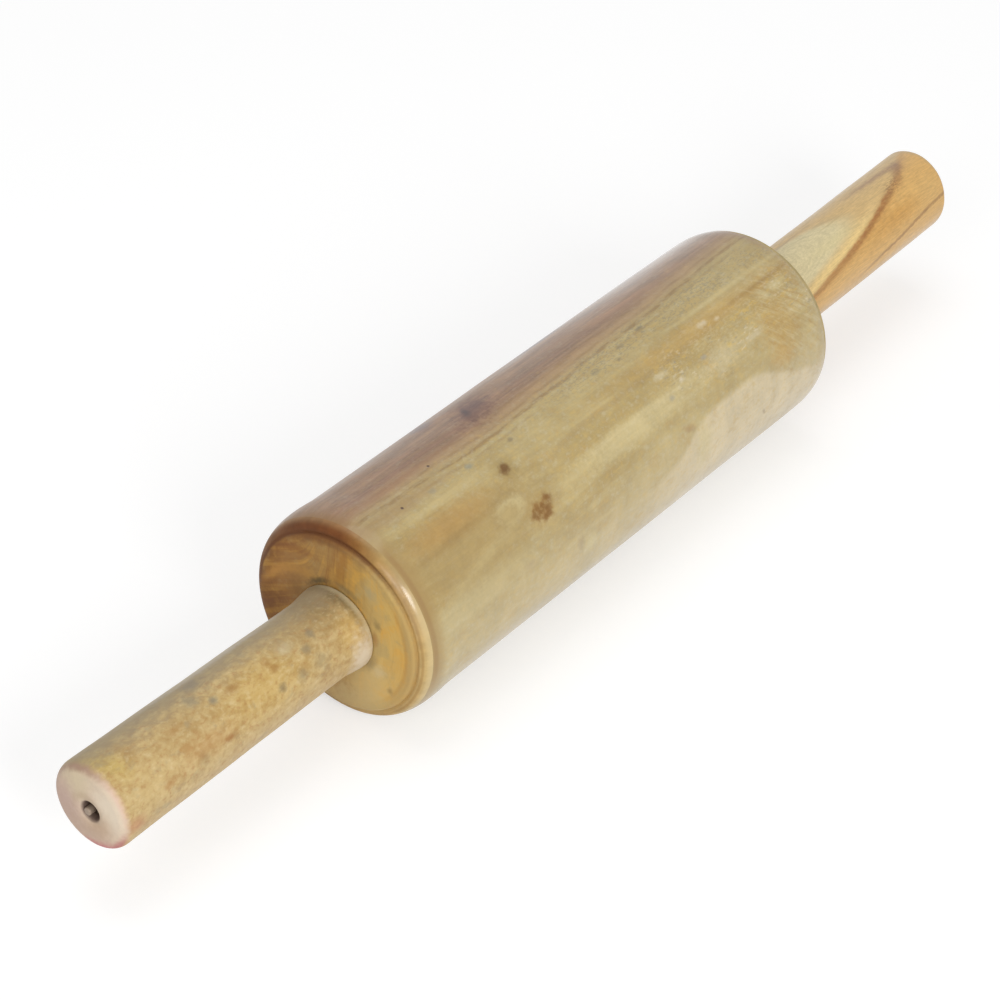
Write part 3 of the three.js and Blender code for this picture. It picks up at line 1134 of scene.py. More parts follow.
@dataclass(frozen=True)
class EndGrain:
    """The dull amber end grain of the barrel's beads and faces, dark on the heartwood's side."""

    # Tones across the face, from the heartwood's side to the other
    amber: Stops = (
        (0, (114, 74, 36)), (0.12, (132, 90, 46)), (0.2, (150, 108, 60)), (0.3, (154, 116, 66)),
        (0.42, (158, 122, 70)), (0.53, (166, 126, 66)), (0.6, (172, 138, 78)),
        (0.7, (188, 160, 102)), (0.8, (200, 168, 100)), (0.9, (200, 163, 92)),
        (1, (196, 160, 96)))
    # Tones round the bead, by the turn from the top, at its foot and on its shoulder
    bead: Stops = (
        (-180, (178, 146, 94)), (-140, (156, 118, 70)), (-105, (124, 82, 46)),
        (-60, (126, 86, 50)), (-30, (106, 64, 36)), (2, (112, 66, 32)),
        (14, (132, 90, 44)), (26, (164, 128, 74)), (45, (172, 138, 86)),
        (65, (182, 150, 94)), (90, (192, 164, 110)), (140, (184, 154, 102)),
        (180, (178, 146, 94)))
    shoulder: Stops = (
        (-180, (186, 162, 112)), (-130, (160, 130, 84)), (-95, (134, 96, 58)),
        (-30, (144, 108, 68)), (4, (146, 104, 58)), (16, (156, 122, 70)),
        (30, (172, 144, 90)), (60, (180, 154, 104)), (80, (194, 170, 120)),
        (110, (188, 166, 118)), (180, (186, 162, 112)))
    far_bead: Tone = (180, 160, 110)
    bead_radius: float = 28.9
    # How far from the bead's radius the bead comes in, and its groove as (place, half width)
    bead_edge: Band = (-0.6, 0.5)
    groove_line: tuple[float, float] = (-0.3, 0.6)
    # The turn and the length over which the tones run across the face, and how far they waver
    across_turn: float = 95.0
    across: float = 60.0
    waver: float = 8.0
    relief: float = 0.12
    mottle: Pattern = Pattern(0.2, detail=4.0, rough=0.62)
    stain: Pattern = Pattern(0.3, along=0.6)
    # Masks by the turn from the top, by the place across the face and by the reach from the middle
    far_bead_turns: Window = ((-40, 4), (176, 140))
    groove_turns: Window = ((-100, -70), (176, 140))
    groove_fade: Band = (75, 10)
    front_turns: Window = ((36, 66), (170, 132))
    rubbed_turns: Window = ((24, 40), (84, 64))
    rusty_side: Band = (14, -8)
    pale_side: Band = (-6, 10)
    shoulder_from: Band = (99.8, 97.4)
    rust: Tone = (128, 80, 40)
    gold: Tone = (206, 158, 78)
    amber_patch: Tone = (208, 160, 74)
    olive_patch: Tone = (172, 153, 106)
    # Where the grain's streaks turn from upright to slanting, and their slant
    upright_to: float = -8.0
    slant_from: float = 14.0
    slant: tuple[float, float] = (0.47, 0.88)
    # Painted shade and grime in the groove inside the bead
    groove_shade_and_grime: Tone = (96, 56, 30)
    # A fine dark line round the bead's front, and a painted highlight along its crest, as (distance
    # from the axle, half width, tone, strength)
    bead_line_and_highlight: tuple[tuple[float, float, Tone, float], ...] = (
        (29.9, 0.4, (150, 114, 62), 0.5), (31.3, 0.5, (206, 182, 132), 0.45))
    # Here a mark's first number is its distance from the axle
    marks: tuple[Mark, ...] = (
        Mark(23, -66, 4.5, 6, (188, 138, 70), 0.6, 0.9, 0.9, lean=-4.2),
        Mark(18, -46, 4, 6, (168, 124, 62), 0.4, 0.9, 0.9, lean=-3.4),
        Mark(25, -38, 3.5, 7, (124, 76, 42), 0.6, 0.9, 0.9, lean=-4),
        Mark(26, -98, 6, 14, (106, 66, 36), 0.6, 0.9, 0.9),
        Mark(16, -66, 2.4, 12, (120, 88, 46), 0.5, 0.9, 0.9),
        Mark(22, 7, 6, 5, (154, 106, 50), 0.5, 0.9, 0.9, lean=0.4),
        # The next mark is painted shade and grime in the groove along the top
        Mark(27.8, -8, 1.5, 34, (106, 64, 34), 0.75, 0.9, 0.6),
        # The next mark is painted light: the floor's bounce lightening the face's lower part
        Mark(19, 150, 8, 30, (206, 180, 124), 0.6, 0.9, 0.6),
        Mark(18, 122, 1.6, 7, (202, 186, 146), 0.5, 0.9, 0.9),
        Mark(21, 38, 1.6, 6, (164, 154, 122), 0.5, 0.9, 1),
        Mark(16.6, 66, 1, 5, (104, 94, 70), 0.5, 0.9, 1),
        Mark(14.4, 20, 0.9, 16, (96, 92, 74), 0.5, 0.9, 1),
        Mark(13.8, -26, 1, 16, (52, 54, 42), 0.7, 0.9, 0.9),
        Mark(14.4, 84, 0.9, 8, (144, 98, 60), 0.5, 0.9, 0.9),
        Mark(14.6, 122, 1.2, 12, (126, 112, 82), 0.5, 0.9, 1),
        Mark(24, 127, 0.8, 2.4, (122, 100, 66), 0.5, 0.9),
        Mark(25.4, 92, 0.6, 40, (172, 128, 64), 0.5, 0.9, 0.6),
        Mark(27.2, 94, 1.4, 62, (174, 148, 98), 0.7, 0.8, 0.5),
        Mark(26, 178, 5, 30, (194, 172, 126), 0.6, 0.9, 0.6),
    )
    polish: Polish = Polish(specular=0.16, coat=0.0, coat_roughness=0.22)

    def make(self, effects: Effects) -> bpy.types.Material:
        """Builds the material.

        Args:
            effects: The shared groups.

        Returns:
            The material.
        """
        work = Finish("barrel_end_grain_finish", effects, self.polish)
        board = work.board
        cloud = work.grained(waver=4.0, fibre=0.6, band=2.6)["Cloud"]
        angle = board.times(board.math("SUBTRACT", work.turn, self.across_turn),
                            math.pi / HALF_TURN)
        side = board.total(board.times(board.math("COSINE", angle), work.radius),
                           board.sway(cloud, self.waver))
        work.colour = board.ramp(board.math("MULTIPLY_ADD", side, 1 / self.across, 0.5), self.amber)
        fine = work.turning_lines(0.9)
        streak = self._streaks(work)
        rusty = board.times(board.span(streak, 0.5, 0.34, 0.0, 0.55),
                            board.span(side, *self.rusty_side, 0.25, 1.0))
        work.tint(self.rust, rusty)
        work.tint(self.gold, board.span(streak, 0.5, 0.68, 0.0, 0.5))
        mottle = work.pattern(self.mottle)
        pale = board.span(side, *self.pale_side, 0.35, 1.0)
        for tone, start, full in ((self.amber_patch, 0.52, 0.68), (self.olive_patch, 0.48, 0.34)):
            work.tint(tone, board.times(board.span(mottle, start, full), pale), 0.5)
        work.shade(board.vary(fine, 0.97, 1.03))
        work.height = board.times(fine, 0.4)
        work.mark(self.marks, work.radius)
        self._bead(work)
        return work.close(board.vary(streak, 0.5, 0.62), self.relief)

    def _streaks(self, work: Finish) -> Socket:
        """The grain that the face cuts across: upright on one half, slanting on the other.

        Args:
            work: The material under way.

        Returns:
            The streaks, as a value about 0.5.
        """
        board = work.board
        _, aside, height = board.split(work.point)
        slanted = board.math("MULTIPLY_ADD", aside, self.slant[0],
                             board.times(height, self.slant[1]))
        lean = board.span(aside, self.upright_to, self.slant_from)
        place = board.math("MULTIPLY_ADD", board.math("SUBTRACT", slanted, aside), lean, aside)
        return board.noise(board.join(place, board.times(height, 0.14)), 0.27, 3.0, 0.55, 0.5)

    def _bead(self, work: Finish) -> None:
        """Lays the bead and the groove inside it, darkened with painted shade and grime, and a
        painted highlight along the bead's crest, and polishes the bead where a hand rubs it.

        Args:
            work: The material under way.
        """
        board = work.board
        near, far = (board.span(work.along, *half) for half in (NEAR_HALF, FAR_HALF))
        share = board.math("MULTIPLY_ADD", work.turn, 1 / WHOLE_TURN, 0.5)
        foot, shoulder = (
            board.ramp(share, [(turn / WHOLE_TURN + 0.5, tone) for turn, tone in stops])
            for stops in (self.bead, self.shoulder))
        outer = board.span(board.math("ABSOLUTE", work.along), *self.shoulder_from)
        wood = board.cover(foot, shoulder, outer)
        wood = board.cover(wood, linear(self.far_bead),
                           board.times(board.window(work.turn, self.far_bead_turns), far))
        wood = board.shade(wood, board.vary(work.pattern(self.stain), 0.88, 1.1))
        bead = board.span(work.radius, *(self.bead_radius + edge for edge in self.bead_edge))
        work.lay(wood, bead)
        place, half = self.groove_line
        line = board.times(work.thread(work.radius, self.bead_radius + place, half),
                           board.span(work.turn, *self.groove_fade, 0.2, 0.82),
                           board.window(work.turn, self.groove_turns), near)
        work.tint(self.groove_shade_and_grime, line)
        front = board.times(board.window(work.turn, self.front_turns), near)
        for radius, half, tone, strength in self.bead_line_and_highlight:
            work.tint(tone, board.times(work.thread(work.radius, radius, half), front), strength)
        rubbed = board.times(bead, board.window(work.turn, self.rubbed_turns))
        worn = board.times(outer, board.span(work.turn, *SHEEN_TURNS, 0.5, 0.25))
        board.feed(work.shader.inputs["Coat Weight"],
                   board.times(board.math("MAXIMUM", rubbed, worn), near))


@dataclass(frozen=True)
class GripTip:
    """The end grain on a handle's tip, and painted shade in the pit where the axle ends."""

    tone: Tone
    edge: float
    marks: tuple[Mark, ...] = ()
    # The painted shade in the pit
    pit: Tone = (104, 86, 78)
    pit_radius: float = 3.0
    pit_at: tuple[float, float] = (0.0, 0.0)
    # How far past the edge the end grain comes in, how ragged that is, and the same for the pit
    edge_band: Band = (-0.6, 1.4)
    edge_ragged: float = 0.7
    pit_shade_band: Band = (0.7, -0.1)
    pores: Pattern = Pattern(0.9)

    def lay(self, work: Finish) -> None:
        """Lays the end grain over a handle's colour, and paints shade into the pit.

        Args:
            work: The material under way.
        """
        board = work.board
        reach = board.math("MULTIPLY_ADD", work.ragged, self.edge_ragged,
                           board.math("ABSOLUTE", work.along))
        pores = board.vary(work.pattern(self.pores), 0.95, 1.04)
        grip, work.colour = work.colour, board.shade(linear(self.tone)[:3], pores)
        work.mark(self.marks, work.radius)
        mask = board.span(reach, *(self.edge + edge for edge in self.edge_band))
        work.colour = board.cover(grip, work.colour, mask)
        aside = board.vector("SUBTRACT", work.point, (0.0, *self.pit_at))
        away = board.length(board.vector("MULTIPLY", aside, (0.0, 1.0, 1.0)))
        pit_shade = board.span(away, *(self.pit_radius + edge for edge in self.pit_shade_band))
        work.tint(self.pit, pit_shade, 0.9)


@dataclass(frozen=True)
class MottledGrip:
    """A worn grip of mottled tan wood, greyer and darker along its top."""

    light: Tone = (199, 174, 123)
    mid: Tone = (188, 161, 109)
    dark: Tone = (175, 145, 93)
    fleck: Tone = (164, 114, 64)
    grey: Tone = (156, 141, 114)
    smudge: Tone = (138, 130, 110)
    chalk: Tone = (218, 200, 160)
    blots: Pattern = Pattern(0.34, twist=0.4, along=0.8)
    dots: Pattern = Pattern(0.75, detail=2.0, twist=0.1, along=0.8)
    # The turns between which the grey of the top comes in on its two sides, and how far they waver
    grey_front: Band = (22, -18)
    grey_rear: Band = (-110, -62)
    grey_waver: float = 25.0
    relief: float = 0.14
    # Broad patches under the dots of the grain, and the marks over them
    patches: tuple[Mark, ...] = (
        Mark(-141, 48, 14, 30, (196, 162, 88)),
        Mark(-194, 12, 5, 22, (190, 162, 82), 0.6, lean=3),
        Mark(-187.5, 18, 2.2, 26, (160, 124, 66), lean=5),
        Mark(-186, 60, 9, 30, (204, 178, 124)),
        Mark(-116, 16, 14, 30, (158, 133, 88), 0.6),
        Mark(-170, 36, 12, 22, (172, 142, 90), 0.45),
        Mark(-107, -8, 8, 34, (112, 92, 58), 0.6),
        Mark(-107, 66, 4, 26, (196, 160, 86)),
        Mark(-103.6, 0, 1.8, 60, (98, 86, 62)),
        Mark(-155, 112, 60, 22, (196, 172, 130), 0.5, 0.8, 0.5),
        Mark(-162, -112, 22, 18, (172, 138, 86), 0.5, 0.9),
        Mark(-128, -142, 16, 22, (206, 182, 130), 0.5, 0.9),
        Mark(-184, -150, 9, 20, (162, 124, 70), 0.45, 0.9, 0.9),
        Mark(-146, 168, 34, 8, (160, 126, 76), 0.45, 0.9),
    )
    marks: tuple[Mark, ...] = (
        # The first mark is a painted sheen along the grip's upper edge
        Mark(-146, -36, 24, 10, (204, 194, 176), 0.6, 0.9, 0.7),
        Mark(-148, -98, 1.5, 5, (122, 112, 94), 0.5, 0.9, 1),
        Mark(-121, -126, 1.6, 5, (146, 100, 50), 0.55, 0.9, 1),
        Mark(-173, -132, 2, 5, (150, 106, 56), 0.5, 0.9, 1),
        Mark(-137, 172, 1.6, 6, (144, 102, 54), 0.5, 0.9, 1),
        Mark(-157, 26, 1.2, 4.5, (112, 114, 104), 0.6, 0.9),
        Mark(-136.5, 64, 1.2, 4.5, (112, 102, 82), 0.6, 0.9),
        Mark(-128.5, 67, 1.6, 7, (128, 118, 94), 0.5, 0.9, 1),
        Mark(-123.5, 43, 1.4, 6, (122, 114, 96), 0.5, 0.9, 1),
        Mark(-119, 30, 1.2, 6, (118, 112, 98), 0.5, 0.9, 1),
        Mark(-121, 66, 2.4, 9, (134, 120, 90), 0.45, 0.9, 1),
        Mark(-162, 10, 1.8, 8, (128, 124, 108), 0.5, 0.9, 1),
        Mark(-157, -12, 3, 9, (124, 118, 108), 0.5, 0.9, 1),
        Mark(-168.4, 77, 1.8, 7, (138, 118, 80), 0.5, 0.9, 1),
        Mark(-129, 26, 2.2, 8, (202, 190, 156), 0.45, 0.9, 1),
        Mark(-150.5, 28, 2.4, 4.5, (148, 104, 52), 0.55, 0.9, 1),
        Mark(-135.6, 39, 1.4, 4, (150, 104, 44), 0.6, 0.9, 1),
        Mark(-136.4, 28, 1.3, 4, (152, 106, 48), 0.55, 0.9, 1),
        Mark(-158.5, 74.5, 1.9, 3.4, (144, 92, 42), 0.7, 0.8, 0.9),
        Mark(-182, 74, 1.9, 4.5, (164, 116, 62), 0.55, 0.9, 1),
        Mark(-172, 27, 2.2, 5, (160, 116, 60), 0.45, 0.9, 1),
        Mark(-173, 52, 2.2, 5, (162, 118, 62), 0.5, 0.9, 1),
        Mark(-166, 66, 8, 12, (184, 140, 86), 0.4, 0.9, 1),
        Mark(-105, 108, 4, 32, (216, 203, 182), 0.85),
        Mark(-102.5, 30, 0.8, 50, (196, 184, 150), 0.6, 0.9),
        Mark(-195.5, 95, 3, 10, (186, 124, 92), 0.5, 0.9, 0.6),
    )
    tip: GripTip = GripTip(
        tone=(206, 184, 160), edge=197.3, pit_at=NEAR_PIT,
        marks=(
            Mark(9, -30, 5, 36, (204, 188, 154), 0.7, 0.8, 0.5),
            Mark(9, -104, 6, 52, (182, 152, 140), 0.8, 0.8, 0.5),
            Mark(8.4, 66, 4.5, 40, (220, 206, 184), 0.75, 0.8, 0.5),
            Mark(6, 140, 2.6, 60, (176, 146, 116), 0.6, 0.8, 0.5),
            Mark(8.6, -166, 4, 56, (182, 154, 134), 0.7, 0.9, 0.5),
            Mark(4.4, 20, 1.3, 90, (178, 154, 124), 0.6, 0.9, 0.4),
            Mark(13, 134, 1.4, 22, (158, 48, 62), 0.85, 0.9, 0.4),
            Mark(12.2, 166, 1.9, 26, (186, 104, 108), 0.85, 0.9, 0.4),
            Mark(12.9, 56, 0.8, 30, (208, 158, 142), 0.4, 0.8, 0.4),
            Mark(12.7, -14, 1.1, 36, (142, 102, 86), 0.7, 0.8, 0.5),
            Mark(12.9, -90, 1, 36, (176, 140, 126), 0.5, 0.8, 0.5),
        ))
    polish: Polish = Polish(specular=0.28, coat=0.08, coat_roughness=0.35)

    def make(self, effects: Effects) -> bpy.types.Material:
        """Builds the material.

        Args:
            effects: The shared groups.

        Returns:
            The material.
        """
        work = Finish("near_handle_finish", effects, self.polish)
        board = work.board
        blots, dots = work.pattern(self.blots), work.pattern(self.dots)
        work.colour = linear(self.mid)
        work.tint(self.light, board.span(blots, 0.46, 0.64))
        work.tint(self.dark, board.span(blots, 0.5, 0.34))
        work.height = board.times(dots, 0.25)
        work.mark(self.patches)
        work.tint(self.fleck, board.span(dots, 0.5, 0.76), 0.47)
        work.tint(self.chalk, board.span(dots, 0.48, 0.24), 0.3)
        # The grip is laid greyer and darker along its top
        worn = board.total(work.turn, board.sway(blots, self.grey_waver))
        top = board.times(board.span(worn, *self.grey_front),
                          board.span(work.turn, *self.grey_rear))
        work.tint(self.grey, top, 0.7)
        work.tint(self.smudge, work.smudges(4.0, 0.42), 0.4)
        work.mark(self.marks)
        fibre = work.grained(waver=8.0, fibre=0.7, band=2.4)["Fibre"]
        work.shade(board.vary(fibre, 0.98, 1.018))
        self.tip.lay(work)
        return work.close(board.vary(blots, 0.44, 0.6), self.relief)


@dataclass(frozen=True)
class ArchedGrip:
    """A golden grip with a pale olive arch at its root and a dark streak that runs below it."""

    golden: Tone = (213, 169, 98)
    tan: Tone = (208, 175, 117)
    highlight_yellow: Tone = (230, 200, 134)
    olive: Tone = (214, 199, 154)
    brown: Tone = (150, 94, 36)
    amber: Tone = (192, 140, 66)
    umber: Tone = (134, 88, 38)
    arch_top: float = 153.5
    arch_turn: float = 13.0
    # How far an arch falls back for each square degree from its top, on its two sides
    arch_front: float = 0.0176
    arch_back: float = 0.026
    # The turns past its top in which the two sides meet, and how far past it the arch comes in
    arch_meet: Band = (-4, 4)
    arch_edge: Band = (6, -12)
    # Masks by the turn past the streak, by the turn from the top and by the place along the pin
    gold_side: Band = (-6, 3)
    # The painted highlight beside the streak lies between these turns past it, and fades out along
    # the pin
    painted_gleam_sides: Window = ((-22, -9), (-1, -5))
    gold_rear: Band = (-110, -160)
    painted_gleam_to: Band = (172, 146)
    low_from: Band = (140, 165)
    ripple: Pattern = Pattern(0.5, twist=1.2)
    pores: Pattern = Pattern(1.3, along=0.25)
    curls: Pattern = Pattern(0.8, detail=2.0, twist=1.6, along=0.8)
    relief: float = 0.16
    streak: Drawn = Drawn((
        (100, 89), (118, 75.5), (130, 65.5), (140, 57), (150, 48.5), (160, 38),
        (170, 25.5), (178, 17), (184, 8), (188, -2), (200, -26)), -40, 100)
    streak_strength: Drawn = Drawn((
        (100, 0.5), (130, 0.65), (150, 0.9), (168, 0.9), (180, 0.4), (200, 0.15)), 0, 1)
    low_line: Drawn = Drawn((
        (100, 122), (142, 101.5), (150, 96.5), (160, 90.5), (170, 83.5),
        (180, 76.5), (190, 71), (200, 66)), 60, 130)
    marks: tuple[Mark, ...] = (
        Mark(170, 52, 14, 12, (196, 144, 66), 0.65, 0.9),
        Mark(156, 66, 16, 10, (202, 154, 82), 0.4, 0.9),
        Mark(178, -14, 13, 5, (150, 112, 82), 0.65, 0.9, 0.7, lean=0.2),
        Mark(188.5, -5, 3.2, 9, (138, 100, 70), 0.7, 0.9, 0.7, lean=-1.2),
        Mark(184, 8, 2.6, 8, (160, 116, 68), 0.55, 0.9, lean=-2.2),
        Mark(124, -18, 12, 2, (168, 138, 104), 0.5, 0.9, 0.6),
        Mark(145, -3, 6, 2.8, (168, 134, 84), 0.35, 0.95, 0.9, lean=0.9),
        Mark(145, 4, 5, 1.2, (176, 152, 102), 0.45, 0.9, 0.7),
        Mark(140, 28, 12, 7, (212, 196, 142), 0.4, 0.9),
        Mark(192, 48, 8, 16, (206, 168, 104), 0.5, 0.9),
        Mark(150, 116, 60, 10, (204, 174, 128), 0.5, 0.9, 0.5),
        Mark(150, -88, 48, 3.4, (170, 120, 56), 0.6, 0.9, 0.7, lean=0.14),
        Mark(162, -122, 40, 2.6, (150, 102, 46), 0.55, 0.9, 0.7, lean=-0.1),
        Mark(138, -150, 38, 8, (226, 194, 130), 0.5, 0.9, 0.7),
        Mark(164, 158, 36, 3.2, (166, 116, 54), 0.55, 0.9, 0.7, lean=0.12),
    )
    fleck_zone: Mark = Mark(178.5, 14, 4.5, 8, (112, 72, 38), 0.5, 0.9, 0.9, lean=-1)
    tip: GripTip = GripTip(
        tone=(196, 164, 112), edge=199.2,
        marks=(
            Mark(8.4, -60, 4.6, 60, (208, 178, 126), 0.6, 0.8, 0.5),
            Mark(9.4, 104, 4, 52, (180, 144, 92), 0.6, 0.8, 0.5),
            Mark(13.2, 10, 0.9, 90, (168, 128, 78), 0.5, 0.8, 0.5),
            Mark(4.8, 0, 1.3, 170, (172, 140, 94), 0.5, 0.9, 0.4),
        ))
    polish: Polish = Polish(specular=0.3, coat=0.4, coat_roughness=0.2)

    def make(self, effects: Effects) -> bpy.types.Material:
        """Builds the material.

        Args:
            effects: The shared groups.

        Returns:
            The material.
        """
        work = Finish("far_handle_finish", effects, self.polish)
        board = work.board
        grain = work.grained(waver=6.0, fibre=0.34, band=2.0)
        ripple, pores = work.pattern(self.ripple), work.pattern(self.pores)
        stir = board.total(board.sway(grain["Cloud"], 5.0), board.sway(ripple, 2.5))
        turn = board.total(work.turn, stir)
        past = board.math("SUBTRACT", turn, work.follow(self.streak))
        arch = self._arch(work, stir)
        inside = board.span(arch, *(self.arch_top + edge for edge in self.arch_edge))
        self._ground(work, past)
        work.tint(self.olive, inside)
        nested = board.vary(board.noise(board.join(arch), 0.42, 2.0, 0.6), -0.06, 0.05)
        curls = board.span(work.pattern(self.curls), 0.32, 0.68, -0.07, 0.06)
        for level in (nested, curls):
            work.shade(board.math("MULTIPLY_ADD", level, inside, 1.0))
        self._lines(work, turn, past, pores)
        work.height = board.math("MULTIPLY_ADD", ripple, 0.4, board.times(pores, 0.4))
        work.mark(self.marks)
        flecks = board.times(work.flecks(0.5, 0.9), work.mask_of(self.fleck_zone))
        work.tint(self.fleck_zone.tone, flecks, self.fleck_zone.strength)
        straight = board.math("MULTIPLY_ADD", inside, -0.65, 1.0)
        fibres = board.total(board.vary(pores, -0.07, 0.06), board.vary(grain["Fibre"], -0.1, 0.09))
        level = board.math("MULTIPLY_ADD", fibres, straight, board.vary(ripple, 0.965, 1.035))
        work.shade(level)
        self.tip.lay(work)
        return work.close(board.vary(grain["Cloud"], 0.36, 0.5), self.relief)

    def _ground(self, work: Finish, past: Source) -> None:
        """Lays the tan wood above the streak, the golden wood below it and a painted highlight
        beside it.

        Args:
            work: The material under way.
            past: The turn past the streak.
        """
        board = work.board
        lower = board.math("MAXIMUM", board.span(past, *self.gold_side),
                           board.span(work.turn, *self.gold_rear))
        work.colour = linear(self.tan)
        work.tint(self.golden, lower)
        painted_gleam = board.times(board.window(past, self.painted_gleam_sides),
                            board.span(work.along, *self.painted_gleam_to))
        work.tint(self.highlight_yellow, painted_gleam)

    def _arch(self, work: Finish, stir: Source) -> Socket:
        """Tells where along the pin the arch through a point has its top.

        Args:
            work: The material under way.
            stir: The unevenness of the grain.

        Returns:
            The place of the arch's top.
        """
        board = work.board
        aside = board.math("SUBTRACT", work.turn, self.arch_turn)
        fall = board.span(aside, *self.arch_meet, self.arch_back, self.arch_front)
        arch = board.math("MULTIPLY_ADD", board.times(aside, aside), fall, work.along)
        return board.math("MULTIPLY_ADD", stir, 0.6, arch)

    def _lines(self, work: Finish, turn: Source, past: Source, pores: Source) -> None:
        """Lays the dark streak with its halo, and the thin line low on the grip.

        Args:
            work: The material under way.
            turn: The wavering turn from the top.
            past: The turn past the streak.
            pores: The pattern that breaks the streak.
        """
        board = work.board
        strength = work.follow(self.streak_strength)
        halo = board.times(work.thread(past, 2.5, 9.0), strength)
        work.tint(self.amber, halo, 0.45)
        dark = board.times(work.thread(past, 0.0, 5.0), strength,
                           board.span(pores, 0.3, 0.6, 0.6, 1.0))
        work.tint(self.brown, dark)
        low = board.math("SUBTRACT", turn, work.follow(self.low_line))
        seam = board.times(work.thread(low, 0.0, 2.8),
                           board.span(work.along, *self.low_from, 0.2, 1.0))
        work.tint(self.umber, seam, 0.6)


@dataclass(frozen=True)
class Metal:
    """Drawn steel dulled with handling, or plain nylon where it isn't metallic."""

    name: str
    bright: Tone
    dull: Tone
    metallic: float
    roughness: Band
    # The axle's end is lightened: partly a rub mark, partly painted light where it sits in the
    # pit's shade
    end_rub_and_light: float = 0.0
    end_rub_and_light_tone: Tone = (158, 140, 122)
    # How far past the axle's end its rubbed tone, lifted as painted light, comes in
    end_rub_and_light_band: Band = (0.2, 1.6)
    line_pitch: float = 0.35
    relief: float = 0.03

    def make(self, effects: Effects) -> bpy.types.Material:
        """Builds the material.

        Args:
            effects: The shared groups.

        Returns:
            The material.
        """
        work = Finish(self.name, effects, Polish(specular=0.5, coat=0.0))
        board = work.board
        work.shader.inputs["Metallic"].default_value = self.metallic
        work.height = work.turning_lines(self.line_pitch)
        work.colour = linear(self.bright)
        work.tint(self.dull, work.smudges(1.6, 0.6))
        if self.end_rub_and_light:
            reach = board.math("ABSOLUTE", work.along)
            end = board.span(reach, *(AXLE_END + edge for edge in self.end_rub_and_light_band))
            work.tint(self.end_rub_and_light_tone, end, self.end_rub_and_light)
        return work.close(board.vary(work.height, *self.roughness), self.relief)


AXLE_STEEL = Metal("axle_steel_finish", (118, 98, 84), (96, 76, 62), 0.3, (0.45, 0.6), 0.9)
WASHER_STEEL = Metal("washer_steel_finish", (150, 150, 148), (104, 96, 84), 0.9, (0.3, 0.5))
BUSH_NYLON = Metal("bush_nylon_finish", (226, 220, 204), (196, 184, 158), 0.0, (0.45, 0.6))


